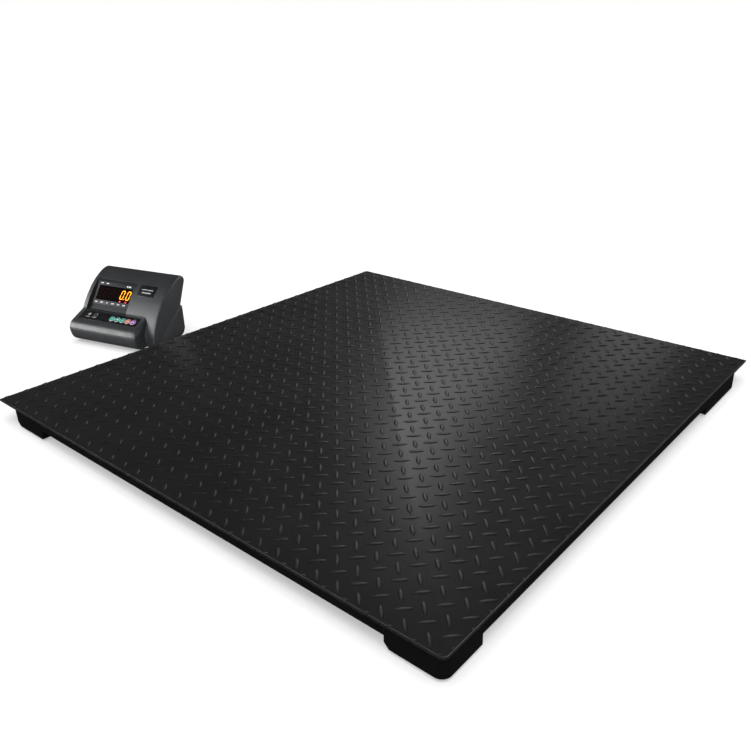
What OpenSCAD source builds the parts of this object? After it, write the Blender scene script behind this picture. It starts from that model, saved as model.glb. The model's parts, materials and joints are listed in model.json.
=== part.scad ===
// Low-profile pallet scale: a square chequer-plate platform that stands on four
// load cells with levelling feet, and the desk-top weighing indicator beside it.
// The origin is the centre of the deck's top face. +Z is up, and the platform's
// front faces -Y. The four corners are named front (+X -Y), right (+X +Y),
// rear (-X +Y) and left (-X -Y).

/* [Platform] */
// Side of the square deck
deck_side = 1200; // [1150:10:1250]
// Thickness of the deck plate, without its treads
deck_t = 5; // [4:0.5:6]
// Radius of the deck's front corner
deck_corner_r = 10; // [5:1:18]
// Height of the deck's top face above the floor
scale_h = 46; // [46:1:48]
// Gap between the deck's left edge and the underframe
frame_inset_x = 70; // [60:5:80]
// Gap between the deck's far edge and the underframe
frame_inset_y = 80; // [70:5:90]

/* [Skirts and rails] */
// Thickness of the folded sheet of the skirts and corner housings
sheet_t = 4; // [3:0.5:5]
// Depth of the front skirt below the deck's top
front_skirt_h = 20; // [18:1:24]
// Depth of the right skirt below the deck's top
right_skirt_h = 22; // [18:1:24]
// Width of the flange folded in under each skirt
skirt_flange = 30; // [20:2:32]
// Width of the hidden rails and ribs
rail_w = 40; // [30:2:50]
// Depth of the hidden rails and ribs, below the deck plate
rail_h = 20; // [15:1:21]

/* [Corner housings] */
// Depth of the corner housings below the deck's top
housing_h = 41; // [38:1:42]
// Length of a housing along X
housing_x = 102; // [96:1:110]
// Length of the front housing along Y
housing_y_short = 88; // [84:1:100]
// Length of the other housings along Y
housing_y_long = 175; // [150:5:190]
// Radius of the front housing's upright corner
housing_corner_r = 17; // [10:1:24]
// Size of the chamfer at a housing's lower inner corners
housing_chamfer = 9; // [4:1:14]

/* [Load cells and feet] */
// Length of a load cell
cell_l = 130; // [125:5:140]
// Width of a load cell
cell_w = 30; // [28:1:32]
// Thickness of a load cell
cell_h = 22; // [20:1:23]
// Distance from a load cell's free end to its foot
foot_at = 18; // [16:1:20]
// Radius of a foot's stem
stem_r = 6; // [5:0.5:6]
// Radius of a foot pad
pad_r = 20; // [16:1:20]

/* [Indicator] */
// Width of the indicator's case
case_w = 260; // [250:2:270]
// Wall thickness of the case
case_t = 3; // [2:0.5:3.5]
// Width of the keypad nose, from the left side
nose_w = 228; // [220:2:232]
// Radius of a key
key_r = 8.5; // [7:0.1:8.5]
// Distance between the keys' centres
key_pitch = 17.8; // [17.7:0.1:19]
// Place of the indicator's centre along X
indicator_x = -800; // [-1000:10:-780]
// Place of the indicator's centre along Y
indicator_y = -150; // [-400:10:400]
// Turn of the indicator's front away from -Y, towards +X
indicator_turn = 15; // [0:5:45]

/* [Hidden] */

eps = 0.01;
half = deck_side / 2;
floor_z = -scale_h;
// outer faces of the underframe
frame_x0 = -half + frame_inset_x;
frame_x1 = half;
frame_y0 = -half;
frame_y1 = half - frame_inset_y;
frame_cx = (frame_x0 + frame_x1) / 2;
frame_cy = (frame_y0 + frame_y1) / 2;
rib_offsets = [-330, -130, 130, 330];

// load cells: distance of their centre lines and free ends from the frame's centre
cell_side = 50; // from a load cell's centre line to the underframe's side
cell_dx = (frame_x1 - frame_x0) / 2 - cell_side;
cell_dy = (frame_y1 - frame_y0) / 2 - 10;
plate_t = 6;
plate_l = 58;
cell_top = -deck_t - plate_t;
cell_bottom = cell_top - cell_h;
bolt_r = 5;
bolt_at = [20, 45];
strain_pocket_r = 9;
strain_pocket_d = 6;
gland_l = 12;
cell_mid_z = cell_top - cell_h / 2;

// feet, measured down from the deck's top
pad_bottom = floor_z;
pad_h = 7.4;
pad_top = floor_z + pad_h;
ball_r = 3.8;
ball_z = floor_z + 5.6;
neck_r = 2.6;
socket_gap = 0.05;
thread_gap = 0.05;
stem_top = cell_top - 0.5;
stem_foot = pad_top + 1.6;
locknut_h = 4.6;
locknut_r = 10.4;

// junction box, centred under the deck
jb_x = 120;
jb_y = 80;
jb_top = -deck_t;
jb_h = 27;
jb_lid_h = 5;
jb_wall = 3;
jb_gland_x = [-28, 28];
jb_screw_in = 1.5; // from the box's outer faces to its corner screws

// load-cell cables
cable_r = 2.5;
lead_r = 3.2; // bore for the lead to the indicator and for its mains lead
cable_z = -deck_t - rail_h - cable_r - 0.8;
// the route of the front corner's cable, from the frame's centre
cell_end_y = -(cell_dy - cell_l - gland_l);
cable_route = [
    [cell_dx, cell_end_y, cell_mid_z],
    [cell_dx, cell_end_y + 14, cell_mid_z - 0.4],
    [cell_dx - 3, cell_end_y + 30, cell_mid_z - 2.6],
    [cell_dx - 14, cell_end_y + 46, cable_z + 1],
    [cell_dx - 34, cell_end_y + 60, cable_z],
    [440, -320, cable_z],
    [380, -300, cable_z],
    [280, -280, cable_z],
    [200, -255, cable_z],
    [120, -225, cable_z],
    [70, -190, cable_z],
    [42, -150, cable_z],
    [31, -115, cable_z + 1],
    [28, -90, cable_z + 4],
    [28, -70, cable_z + 6.6],
    [28, -jb_y / 2 - gland_l, cable_z + 7]
];
gland_z = cable_z + 7;

// indicator case: side outlines as [depth from the nose's front, height]
case_profile = [
    [38, 10], [38, 40], [46, 60], [60, 84], [76, 106], [92, 124], [108, 139], [126, 152],
    [144, 162], [160, 168], [172, 169], [180, 164], [184, 154], [156, 92], [162, 86],
    [162, 24], [156, 13], [146, 6], [136, 4], [46, 4]
];
nose_profile = [
    [60, 4], [22, 4], [12, 9], [5, 18], [1, 30], [0, 42], [3, 50], [8, 57], [16, 62], [60, 81.3]
];
// the seam between the shells, from the nose to the notch in the back
seam_line = [[-20, 42], [41, 42], [41, 14], [156, 92], [240, 92]];
seam_gap = 0.1;
case_d = 184;
back_y = 162; // outer face of the lower back wall
case_x = case_w / 2;
nose_x1 = -case_x + nose_w;
// the display recess: its floor rises from pocket_foot at pocket_slope
pocket_foot = [66, 79];
pocket_head = [120, 148];
pocket_slope = atan((pocket_head[1] - pocket_foot[1]) / (pocket_head[0] - pocket_foot[0]));
pocket_x0 = -case_x + 14;
pocket_x1 = 23;
bezel_w = 130;
bezel_l = 67;
bezel_at = 15;
bezel_x = -44;
bezel_t = 1.2;
window_w = 117;
window_l = 42;
window_at = 48.5;
digit_pitch = 20.2;
digit_w = 15.4;
digit_l = 30;
// the keypad ledge: it rises from ledge_foot at ledge_slope
ledge_foot = [16, 62];
ledge_slope = atan((81.3 - 62) / (60 - 16));
nameplate_x = [38, 94];
nameplate_y = [52, 86]; // up the recess's slope
nameplate_t = 0.6;
overlay_x0 = -114;
overlay_x1 = 81;
overlay_l = 32;
overlay_at = 7;
overlay_t = 0.6;
key_x0 = -6;
key_gap = 0.3;
key_proud = 1.2;
key_stem = 7;
key_board_drop = 8;
// parts behind and below the case
battery_box = [100, 66, 44];
battery_z = 9.5;
hatch = [108, 52];
hatch_y = 104;
switch_at = [96, 58];
rocker_drop = 3.5; // the rocker's pin lies this far inside the back wall
screw_places = [[-121, 62], [121, 62], [-121, 146], [121, 146]];
foot_places = [[-104, 58], [104, 58], [-104, 128], [104, 128]];
sockets = [[-92, 39], [-42, 31]];
socket_z = 46;

// ---------- helpers ----------

// moves an outline's edges inward by d, for an outline drawn clockwise
function unit(v) = v / norm(v);
function cross2(a, b) = a[0] * b[1] - a[1] * b[0];
function side_line(p, q, d) = let (u = unit(q - p)) [p + d * [u[1], -u[0]], u];
function meet(a, b) = a[0] + a[1] * cross2(b[0] - a[0], b[1]) / cross2(a[1], b[1]);
function inset(pts, d) = let (n = len(pts)) [
    for (i = [0:n - 1])
        meet(side_line(pts[(i + n - 1) % n], pts[i], d), side_line(pts[i], pts[(i + 1) % n], d))
];

// a prism along X from x0 to x1 on a side outline of [y, z] points
module side_prism(pts, x0, x1) {
    translate([x0, 0, 0])
        rotate([90, 0, 90])
            linear_extrude(x1 - x0)
                polygon(pts);
}

// copies to the four corners of the underframe: front, right, rear, left
module at_corner(corner) {
    sx = (corner == "front" || corner == "right") ? 1 : -1;
    sy = (corner == "front" || corner == "left") ? -1 : 1;
    translate([frame_cx + sx * cell_dx, frame_cy + sy * cell_dy, 0])
        rotate([0, 0, sy < 0 ? 0 : 180])
            children();
}

module at_all_corners() {
    for (corner = ["front", "right", "rear", "left"])
        at_corner(corner)
            children();
}

// moves the indicator's own frame to its place on the floor
module place_indicator() {
    translate([indicator_x, indicator_y, floor_z])
        rotate([0, 0, indicator_turn])
            translate([0, -case_d / 2, 0])
                children();
}

// the frame of a sloping face: X along it, Y up the slope, Z out of it
module on_slope(foot, slope) {
    translate([0, foot[0], foot[1]])
        rotate([slope, 0, 0])
            children();
}

module on_pocket() {
    on_slope(pocket_foot, pocket_slope)
        children();
}

module on_ledge() {
    on_slope(ledge_foot, ledge_slope)
        children();
}

module slab(x0, x1, y0, y1, z0, z1) {
    translate([x0, y0, z0])
        cube([x1 - x0, y1 - y0, z1 - z0]);
}

module hexagon(r, h) {
    cylinder(r = r, h = h, $fn = 6);
}

// a tube along points, with equal rings across the path
function ring(c, dir, r, n) =
    let (side = unit(cross(dir, [0, 0, 1])), up = cross(side, dir))
    [for (k = [0:n - 1]) c + r * (cos(360 * k / n) * side + sin(360 * k / n) * up)];
function way(pts, i) = unit(pts[min(i + 1, len(pts) - 1)] - pts[max(i - 1, 0)]);
// a smooth curve through the route's points, with steps spans between each two
function spline_at(a, b, c, d, t) =
    0.5 * (2 * b + (c - a) * t + (2 * a - 5 * b + 4 * c - d) * t * t
        + (3 * b - a - 3 * c + d) * t * t * t);
function smooth(pts, steps) = let (n = len(pts)) concat(
    [for (i = [0:n - 2], k = [0:steps - 1])
        spline_at(pts[max(i - 1, 0)], pts[i], pts[i + 1], pts[min(i + 2, n - 1)], k / steps)],
    [pts[n - 1]]
);
module tube(route, r, n = 8, steps = 4) {
    pts = smooth(route, steps);
    m = len(pts);
    polyhedron(
        points = [for (i = [0:m - 1]) each ring(pts[i], way(pts, i), r, n)],
        faces = concat(
            [[for (k = [0:n - 1]) k]],
            [for (i = [0:m - 2], k = [0:n - 1])
                [i * n + k, (i + 1) * n + k, (i + 1) * n + (k + 1) % n, i * n + (k + 1) % n]],
            [[for (k = [n - 1:-1:0]) (m - 1) * n + k]]
        )
    );
}

// ---------- platform ----------

module deck_plate() {
    r = deck_corner_r;
    color([0.16, 0.16, 0.17])
        translate([0, 0, -deck_t])
            linear_extrude(deck_t)
                difference() {
                    square(deck_side, center = true);
                    difference() {
                        translate([half - r, -half - r])
                            square([2 * r, 2 * r]);
                        translate([half - r, -half + r])
                            circle(r, $fn = 48);
                    }
                }
}

// an angle section: an upright web with a flange folded in under it
module front_skirt() {
    x0 = frame_x0 + housing_x;
    x1 = frame_x1 - housing_x;
    color([0.1, 0.1, 0.1]) {
        side_prism([
            [frame_y0, -deck_t], [frame_y0 + sheet_t, -deck_t],
            [frame_y0 + sheet_t, -front_skirt_h + sheet_t],
            [frame_y0 + skirt_flange, -front_skirt_h + sheet_t],
            [frame_y0 + skirt_flange, -front_skirt_h], [frame_y0, -front_skirt_h]
        ], x0, x1);
    }
}

module right_skirt() {
    y0 = frame_y0 + housing_y_short;
    y1 = frame_y1 - housing_y_long;
    color([0.08, 0.08, 0.08]) {
        slab(frame_x1 - sheet_t, frame_x1, y0, y1, -right_skirt_h, -deck_t);
        slab(frame_x1 - skirt_flange, frame_x1 - sheet_t + eps, y0, y1, -right_skirt_h,
            -right_skirt_h + sheet_t);
    }
}

// an upturned channel under the deck, along X
module channel(l, w, h, t) {
    difference() {
        translate([0, -w / 2, -h])
            cube([l, w, h]);
        translate([-1, -w / 2 + t, -h + t])
            cube([l + 2, w - 2 * t, h]);
    }
}

module far_rail() {
    x0 = frame_x0 + housing_x;
    x1 = frame_x1 - housing_x;
    color([0.1, 0.1, 0.1])
        translate([x0, frame_y1 - rail_w / 2, -deck_t])
            channel(x1 - x0, rail_w, rail_h, 3);
}

module left_rail() {
    y0 = frame_y0 + housing_y_long;
    y1 = frame_y1 - housing_y_long;
    color([0.1, 0.1, 0.1])
        translate([frame_x0 + rail_w / 2, y0, -deck_t])
            rotate([0, 0, 90])
                channel(y1 - y0, rail_w, rail_h, 3);
}

module rib(i) {
    y0 = frame_y0 + skirt_flange;
    y1 = frame_y1 - rail_w;
    color([0.12, 0.12, 0.12])
        translate([frame_cx + rib_offsets[i], y0, -deck_t])
            rotate([0, 0, 90])
                channel(y1 - y0, rail_w, rail_h, 3);
}

// a corner housing as an open-bottomed folded box, drawn with its outer corner at the
// origin and the box towards +X +Y; r rounds the outer corner
// cable_x places the notch for the cable in its far wall
module housing(lx, ly, r, closed_far, cable_x = 0) {
    difference() {
        translate([0, 0, -housing_h])
            linear_extrude(housing_h - deck_t)
                rounded_corner(lx, ly, r);
        translate([sheet_t, sheet_t, -housing_h - 1])
            linear_extrude(housing_h + 2)
                rounded_corner(lx - 2 * sheet_t, closed_far ? ly - 2 * sheet_t : ly, max(r - sheet_t, 1));
        housing_chamfers(lx, ly);
        if (cable_x > 0)
            slab(cable_x - 7, cable_x + 7, ly - sheet_t - 1, ly + 1, -housing_h - 1, cell_mid_z + 4);
    }
}

module rounded_corner(lx, ly, r) {
    difference() {
        square([lx, ly]);
        difference() {
            translate([-r, -r])
                square(2 * r);
            translate([r, r])
                circle(r, $fn = 48);
        }
    }
}

// the sloping lower corner at the end away from the outer corner
module housing_chamfers(lx, ly) {
    c = housing_chamfer;
    translate([lx, ly + 1, -housing_h])
        rotate([90, 0, 0])
            linear_extrude(ly + 2)
                polygon([[-c, -1], [-c, 0], [0, c], [1, c], [1, -1]]);
}

// the load cell's beam runs out of the front housing, so its far wall is left open
module front_housing() {
    color([0.09, 0.09, 0.09])
        translate([frame_x1, frame_y0, 0])
            mirror([1, 0, 0])
                housing(housing_x, housing_y_short, housing_corner_r, false);
}

module left_housing() {
    color([0.16, 0.16, 0.16])
        translate([frame_x0 + housing_x, frame_y0, 0])
            mirror([1, 0, 0])
                housing(housing_x, housing_y_long, 2, true, housing_x - cell_side);
}

module right_housing() {
    color([0.07, 0.07, 0.07])
        translate([frame_x1, frame_y1, 0])
            rotate([0, 0, 180])
                housing(housing_x, housing_y_long, 2, true, cell_side);
}

module rear_housing() {
    color([0.1, 0.1, 0.1])
        translate([frame_x0, frame_y1, 0])
            mirror([0, 1, 0])
                housing(housing_x, housing_y_long, 2, true, cell_side);
}

// ---------- load cells and feet, drawn from a cell's free end along +Y ----------

module cell_plates() {
    color([0.12, 0.12, 0.12])
        at_all_corners()
            difference() {
                slab(-24, 24, cell_l - plate_l, cell_l, cell_top, -deck_t);
                for (b = bolt_at)
                    translate([0, cell_l - b, cell_top - 1])
                        cylinder(r = bolt_r + thread_gap, h = plate_t + 0.5, $fn = 32);
            }
}

module load_cell() {
    color([0.72, 0.73, 0.75])
        difference() {
            slab(-cell_w / 2, cell_w / 2, 0, cell_l, cell_bottom, cell_top);
            translate([0, foot_at, cell_bottom - 1])
                cylinder(r = stem_r + thread_gap, h = cell_h + 2, $fn = 48);
            for (b = bolt_at)
                translate([0, cell_l - b, cell_bottom - 1])
                    cylinder(r = bolt_r + 0.5, h = cell_h + 2, $fn = 32);
            for (side = [-1, 1])
                translate([side * (cell_w / 2 + 1), 52, cell_mid_z])
                    rotate([0, -90 * side, 0])
                        cylinder(r = strain_pocket_r, h = strain_pocket_d + 1, $fn = 48);
        }
}

module cell_bolts() {
    washer_h = 2;
    head_h = 5;
    color([0.6, 0.6, 0.62])
        at_all_corners()
            for (b = bolt_at)
                translate([0, cell_l - b, cell_bottom - washer_h])
                    difference() {
                        union() {
                            cylinder(r = bolt_r, h = washer_h + cell_h + plate_t - 1, $fn = 32);
                            cylinder(r = 10, h = washer_h, $fn = 32);
                            translate([0, 0, -head_h])
                                cylinder(r = 8, h = head_h, $fn = 32);
                        }
                        translate([0, 0, -head_h - 1])
                            hexagon(4.6, 4);
                    }
}

// a cable gland on +Y: hexagon body, dome nut and a bore for the cable
module gland(l, r, bore_r = cable_r) {
    rotate([-90, 0, 0])
        difference() {
            union() {
                hexagon(r, l * 0.4);
                translate([0, 0, l * 0.4])
                    cylinder(r = r * 0.8, h = l * 0.6, $fn = 32);
            }
            translate([0, 0, 2])
                cylinder(r = bore_r, h = l, $fn = 32);
        }
}

module cell_glands() {
    color([0.75, 0.76, 0.78])
        at_all_corners()
            translate([0, cell_l, cell_mid_z])
                gland(gland_l, 7);
}

module foot_locknuts() {
    color([0.6, 0.6, 0.62])
        at_all_corners()
            translate([0, foot_at, cell_bottom - locknut_h])
                difference() {
                    hexagon(locknut_r, locknut_h);
                    translate([0, 0, -1])
                        cylinder(r = stem_r + thread_gap, h = locknut_h + 2, $fn = 48);
                }
}

module foot_stem(corner) {
    slot_w = 1.6;
    color([0.62, 0.63, 0.65])
        at_corner(corner)
            translate([0, foot_at, 0])
                difference() {
                    union() {
                        translate([0, 0, stem_foot])
                            cylinder(r = stem_r, h = stem_top - stem_foot, $fn = 48);
                        translate([0, 0, ball_z])
                            cylinder(r = neck_r, h = stem_foot - ball_z + eps, $fn = 32);
                        translate([0, 0, ball_z])
                            sphere(r = ball_r, $fn = 48);
                    }
                    slab(-stem_r - 1, stem_r + 1, -slot_w / 2, slot_w / 2, stem_top - 2, stem_top + 1);
                }
}

module foot_pad(corner) {
    color([0.13, 0.13, 0.13])
        at_corner(corner)
            translate([0, foot_at, 0])
                difference() {
                    union() {
                        translate([0, 0, pad_bottom])
                            cylinder(r = pad_r, h = 3, $fn = 64);
                        translate([0, 0, pad_bottom + 3])
                            cylinder(r1 = pad_r, r2 = 9, h = pad_h - 3, $fn = 64);
                    }
                    translate([0, 0, ball_z])
                        sphere(r = ball_r + socket_gap, $fn = 48);
                }
}

// ---------- junction box and cables ----------

module at_frame_centre() {
    translate([frame_cx, frame_cy, 0])
        children();
}

module junction_box() {
    color([0.55, 0.56, 0.58])
        at_frame_centre()
            difference() {
                slab(-jb_x / 2, jb_x / 2, -jb_y / 2, jb_y / 2, jb_top - jb_h, jb_top);
                slab(-jb_x / 2 + jb_wall, jb_x / 2 - jb_wall, -jb_y / 2 + jb_wall,
                    jb_y / 2 - jb_wall, jb_top - jb_h - 1, jb_top - jb_wall);
                for (sx = [-1, 1], sy = [-1, 1])
                    translate([sx * (jb_x / 2 - jb_screw_in), sy * (jb_y / 2 - jb_screw_in), jb_top - jb_h - 1])
                        cylinder(r = 1, h = 9, $fn = 24);
            }
}

module junction_lid() {
    z1 = jb_top - jb_h;
    color([0.5, 0.51, 0.53])
        at_frame_centre()
            difference() {
                slab(-jb_x / 2, jb_x / 2, -jb_y / 2, jb_y / 2, z1 - jb_lid_h, z1);
                for (sx = [-1, 1], sy = [-1, 1])
                    translate([sx * (jb_x / 2 - jb_screw_in), sy * (jb_y / 2 - jb_screw_in), z1 - jb_lid_h - 1])
                        cylinder(r = 1.2, h = jb_lid_h + 2, $fn = 24);
            }
}

module junction_screws() {
    z1 = jb_top - jb_h - jb_lid_h;
    color([0.7, 0.7, 0.72])
        at_frame_centre()
            for (sx = [-1, 1], sy = [-1, 1])
                translate([sx * (jb_x / 2 - jb_screw_in), sy * (jb_y / 2 - jb_screw_in), z1]) {
                    translate([0, 0, -1.5])
                        cylinder(r = 2, h = 1.5, $fn = 24);
                    cylinder(r = 0.95, h = jb_lid_h + 6, $fn = 24);
                }
}

// the summing board with its terminal blocks
module junction_board() {
    color([0.1, 0.35, 0.2])
        at_frame_centre() {
            slab(-50, 50, -30, 30, jb_top - 9, jb_top - 7.4);
            for (i = [0:4])
                slab(-44 + 18 * i, -30 + 18 * i, -24, -14, jb_top - 18, jb_top - 9 + eps);
            for (sx = [-1, 1])
                slab(sx * 40 - 2, sx * 40 + 2, 20, 24, jb_top - 7.4 - eps, jb_top - jb_wall);
        }
}

// four glands for the load cells and one, on the +X side, for the indicator's lead
module junction_glands() {
    color([0.2, 0.2, 0.2])
        at_frame_centre() {
            for (gx = jb_gland_x, side = [0, 180])
                rotate([0, 0, side])
                    translate([gx, jb_y / 2, gland_z])
                        gland(gland_l, 6.5);
            translate([jb_x / 2, 0, gland_z])
                rotate([0, 0, -90])
                    gland(gland_l + 3, 7.5, lead_r);
        }
}

module cell_cables() {
    color([0.05, 0.05, 0.05])
        at_frame_centre()
            for (sx = [0, 1], sy = [0, 1])
                mirror([sx, 0, 0])
                    mirror([0, sy, 0])
                        tube(cable_route, cable_r - 0.02);
}

// saddle clips that hold the cables up against the ribs
module cable_clips() {
    clip_w = 10;
    clip_t = 1.6;
    top = -deck_t - rail_h;
    color([0.85, 0.85, 0.83])
        at_frame_centre()
            for (sx = [-1, 1], sy = [-1, 1], at = [[330, -290.5], [130, -228.5]])
                translate([sx * at[0], -sy * at[1], 0])
                    difference() {
                        slab(-clip_w / 2, clip_w / 2, -8, 8, cable_z - cable_r - 0.5 - clip_t, top);
                        slab(-clip_w, clip_w, -6, 6, cable_z - cable_r - 0.5, top + 1);
                    }
}

// ---------- indicator case ----------

module case_solid() {
    side_prism(case_profile, -case_x, case_x);
    side_prism(nose_profile, -case_x, nose_x1);
}

module case_hollow() {
    side_prism(inset(case_profile, case_t), -case_x + case_t, case_x - case_t);
    side_prism(inset(nose_profile, case_t), -case_x + case_t, nose_x1 - case_t);
}

// the space cut out of the front for the display, over its sloping floor
module pocket_space() {
    side_prism([pocket_foot, pocket_head, [100, 175], [20, 110], [52, 79]], pocket_x0, pocket_x1);
}

module pocket_backing() {
    on_pocket()
        slab(pocket_x0 - case_t, pocket_x1 + case_t, -3, norm(pocket_head - pocket_foot), -case_t, 3);
}

module upper_shell() {
    color([0.2, 0.21, 0.22])
        place_indicator()
            difference() {
                union() {
                    difference() {
                        case_solid();
                        case_hollow();
                    }
                    intersection() {
                        pocket_backing();
                        case_solid();
                    }
                    screw_pillars();
                }
                pocket_space();
                side_prism(
                    concat([for (p = seam_line) p + [0, seam_gap]], [[240, -20], [-20, -20]]),
                    -case_x - 1, case_x + 1
                );
                on_pocket()
                    slab(bezel_x - window_w / 2, bezel_x + window_w / 2, window_at - window_l / 2,
                        window_at + window_l / 2, -case_t - 1, 4);
                on_ledge()
                    for (i = [0:4])
                        translate([key_x0 + i * key_pitch, overlay_at + overlay_l / 2, -case_t - 3])
                            cylinder(r = key_r + key_gap - 0.1, h = case_t + 8, $fn = 48);
                screw_holes(1.3);
            }
}

// pillars for the four screws that hold the shells together, from floor to roof
module screw_pillars() {
    intersection() {
        case_solid();
        for (p = screw_places)
            translate([p[0], p[1], 4])
                cylinder(r = 4, h = 200, $fn = 32);
    }
}

module screw_holes(r) {
    for (p = screw_places)
        translate([p[0], p[1], -1])
            cylinder(r = r, h = p[1] < 100 ? 46 : 102, $fn = 24);
}

module lower_shell() {
    color([0.18, 0.19, 0.2])
        place_indicator()
            difference() {
                union() {
                    difference() {
                        case_solid();
                        case_hollow();
                    }
                    screw_pillars();
                }
                side_prism(concat(seam_line, [[240, 240], [-20, 240]]), -case_x - 1, case_x + 1);
                // battery hatch
                slab(-hatch[0] / 2, hatch[0] / 2, hatch_y - hatch[1] / 2, hatch_y + hatch[1] / 2, 0, 9);
                // rear openings
                for (s = sockets)
                    slab(s[0] - s[1] / 2, s[0] + s[1] / 2, 150, 170, socket_z - 6.5, socket_z + 6.5);
                slab(switch_at[0] - 10, switch_at[0] + 10, 155, 170, switch_at[1] - 14, switch_at[1] + 14);
                translate([switch_at[0], 150, 26])
                    rotate([-90, 0, 0])
                        cylinder(r = 6.05, h = 20, $fn = 32);
                screw_holes(1.7);
                for (p = foot_places)
                    translate([p[0], p[1], 3])
                        cylinder(r = 8.1, h = 2, $fn = 32);
            }
}

module case_feet() {
    color([0.08, 0.08, 0.08])
        place_indicator()
            for (p = foot_places)
                translate([p[0], p[1], 0])
                    cylinder(r = 8, h = 5, $fn = 48);
}

module case_screws() {
    color([0.7, 0.7, 0.72])
        place_indicator()
            for (p = screw_places)
                translate([p[0], p[1], 2.5]) {
                    cylinder(r = 2.8, h = 1.5, $fn = 24);
                    cylinder(r = 1.25, h = p[1] < 100 ? 36 : 94, $fn = 24);
                }
}

// ---------- display ----------

module display_bezel() {
    color([0.24, 0.25, 0.27])
        place_indicator()
            on_pocket()
                difference() {
                    slab(bezel_x - bezel_w / 2, bezel_x + bezel_w / 2, bezel_at, bezel_at + bezel_l, 0, bezel_t);
                    slab(bezel_x - window_w / 2, bezel_x + window_w / 2, window_at - window_l / 2,
                        window_at + window_l / 2, -1, bezel_t + 1);
                }
}

module display_window() {
    color([0.12, 0.01, 0.01])
        place_indicator()
            on_pocket()
                slab(bezel_x - window_w / 2 + 0.1, bezel_x + window_w / 2 - 0.1,
                    window_at - window_l / 2 + 0.1, window_at + window_l / 2 - 0.1, -1.2, 0.8);
}

// six seven-segment modules in a row
module digit_modules() {
    color([0.06, 0.02, 0.02])
        place_indicator()
            on_pocket()
                for (i = [0:5])
                    translate([bezel_x + (i - 2.5) * digit_pitch, window_at, 0])
                        slab(-digit_w / 2, digit_w / 2, -digit_l / 2, digit_l / 2, -9, -1.6);
}

module display_board() {
    color([0.1, 0.35, 0.2])
        place_indicator()
            on_pocket()
                slab(bezel_x - 62, bezel_x + 62, window_at - 26, window_at + 26, -10.6, -9);
}

// a label that follows the curve of the front
module nameplate() {
    color([0.05, 0.05, 0.05])
        place_indicator()
            intersection() {
                difference() {
                    side_prism(inset(case_profile, -nameplate_t), nameplate_x[0], nameplate_x[1]);
                    side_prism(case_profile, nameplate_x[0] - 1, nameplate_x[1] + 1);
                }
                on_pocket()
                    slab(nameplate_x[0], nameplate_x[1], nameplate_y[0], nameplate_y[1], -5, 20);
            }
}

// ---------- keypad ----------

module keypad_overlay() {
    color([0.05, 0.05, 0.05])
        place_indicator()
            on_ledge()
                difference() {
                    slab(overlay_x0, overlay_x1, overlay_at, overlay_at + overlay_l, 0, overlay_t);
                    for (i = [0:4])
                        translate([key_x0 + i * key_pitch, overlay_at + overlay_l / 2, -1])
                            cylinder(r = key_r + key_gap - 0.1, h = 3, $fn = 48);
                }
}

key_colours = [
    [0.16, 0.52, 0.48], [0.16, 0.52, 0.48], [0.16, 0.52, 0.48], [0.78, 0.33, 0.18], [0.55, 0.22, 0.6]
];
module key(i) {
    color(key_colours[i - 1])
        place_indicator()
            on_ledge()
                translate([key_x0 + (i - 1) * key_pitch, overlay_at + overlay_l / 2, 0]) {
                    translate([0, 0, -2.4])
                        cylinder(r = key_r, h = 2.4 + key_proud, $fn = 48);
                    translate([0, 0, -key_stem])
                        cylinder(r = 2.5, h = key_stem, $fn = 24);
                }
}

// the switch board under the keys, with one tactile switch for each
module keypad_board() {
    color([0.1, 0.35, 0.2])
        place_indicator()
            on_ledge() {
                slab(key_x0 - 12, key_x0 + 4 * key_pitch + 12, overlay_at + 4, overlay_at + overlay_l - 4,
                    -key_board_drop - 4.6, -key_board_drop - 3);
                for (i = [0:4])
                    translate([key_x0 + i * key_pitch, overlay_at + overlay_l / 2, -key_board_drop - 3 - eps])
                        slab(-3, 3, -3, 3, 0, 3);
            }
}

// ---------- inside and behind the indicator ----------

module main_board() {
    color([0.1, 0.35, 0.2])
        place_indicator() {
            slab(-108, 58, 148, 149.6, 28, 76);
            slab(10, 40, 142, 148 + eps, 40, 66);
        }
}

// fifteen-way and nine-way sockets through the back wall
module rear_sockets() {
    color([0.7, 0.7, 0.72])
        place_indicator()
            for (s = sockets)
                translate([s[0], 0, socket_z])
                    difference() {
                        union() {
                            slab(-s[1] / 2 + 0.2, s[1] / 2 - 0.2, 149.6, 163, -6.3, 6.3);
                            slab(-s[1] / 2 + 4, s[1] / 2 - 4, 163 - eps, 167, -4.5, 4.5);
                        }
                        slab(-s[1] / 2 + 5, s[1] / 2 - 5, 160, 168, -3.5, 3.5);
                    }
}

module transformer() {
    color([0.45, 0.42, 0.38])
        place_indicator() {
            slab(70, 108, 92, 132, 10, 44);
            slab(74, 104, 86, 138, 16, 38);
            for (p = [[89, 96], [89, 128]])
                translate([p[0], p[1], 7])
                    cylinder(r = 3, h = 3 + eps, $fn = 24);
        }
}

module battery() {
    color([0.25, 0.26, 0.28])
        place_indicator() {
            slab(-battery_box[0] / 2, battery_box[0] / 2, hatch_y - battery_box[1] / 2,
                hatch_y + battery_box[1] / 2, battery_z, battery_z + battery_box[2]);
            for (sx = [-1, 1])
                slab(sx * 30 - 3, sx * 30 + 3, 76, 78, 53, 59);
        }
}

module battery_cover() {
    c = 0.3;
    color([0.18, 0.19, 0.2])
        place_indicator()
            slab(-hatch[0] / 2 + c, hatch[0] / 2 - c, hatch_y - hatch[1] / 2 + c,
                hatch_y + hatch[1] / 2 - c, 4, 7);
}

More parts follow.
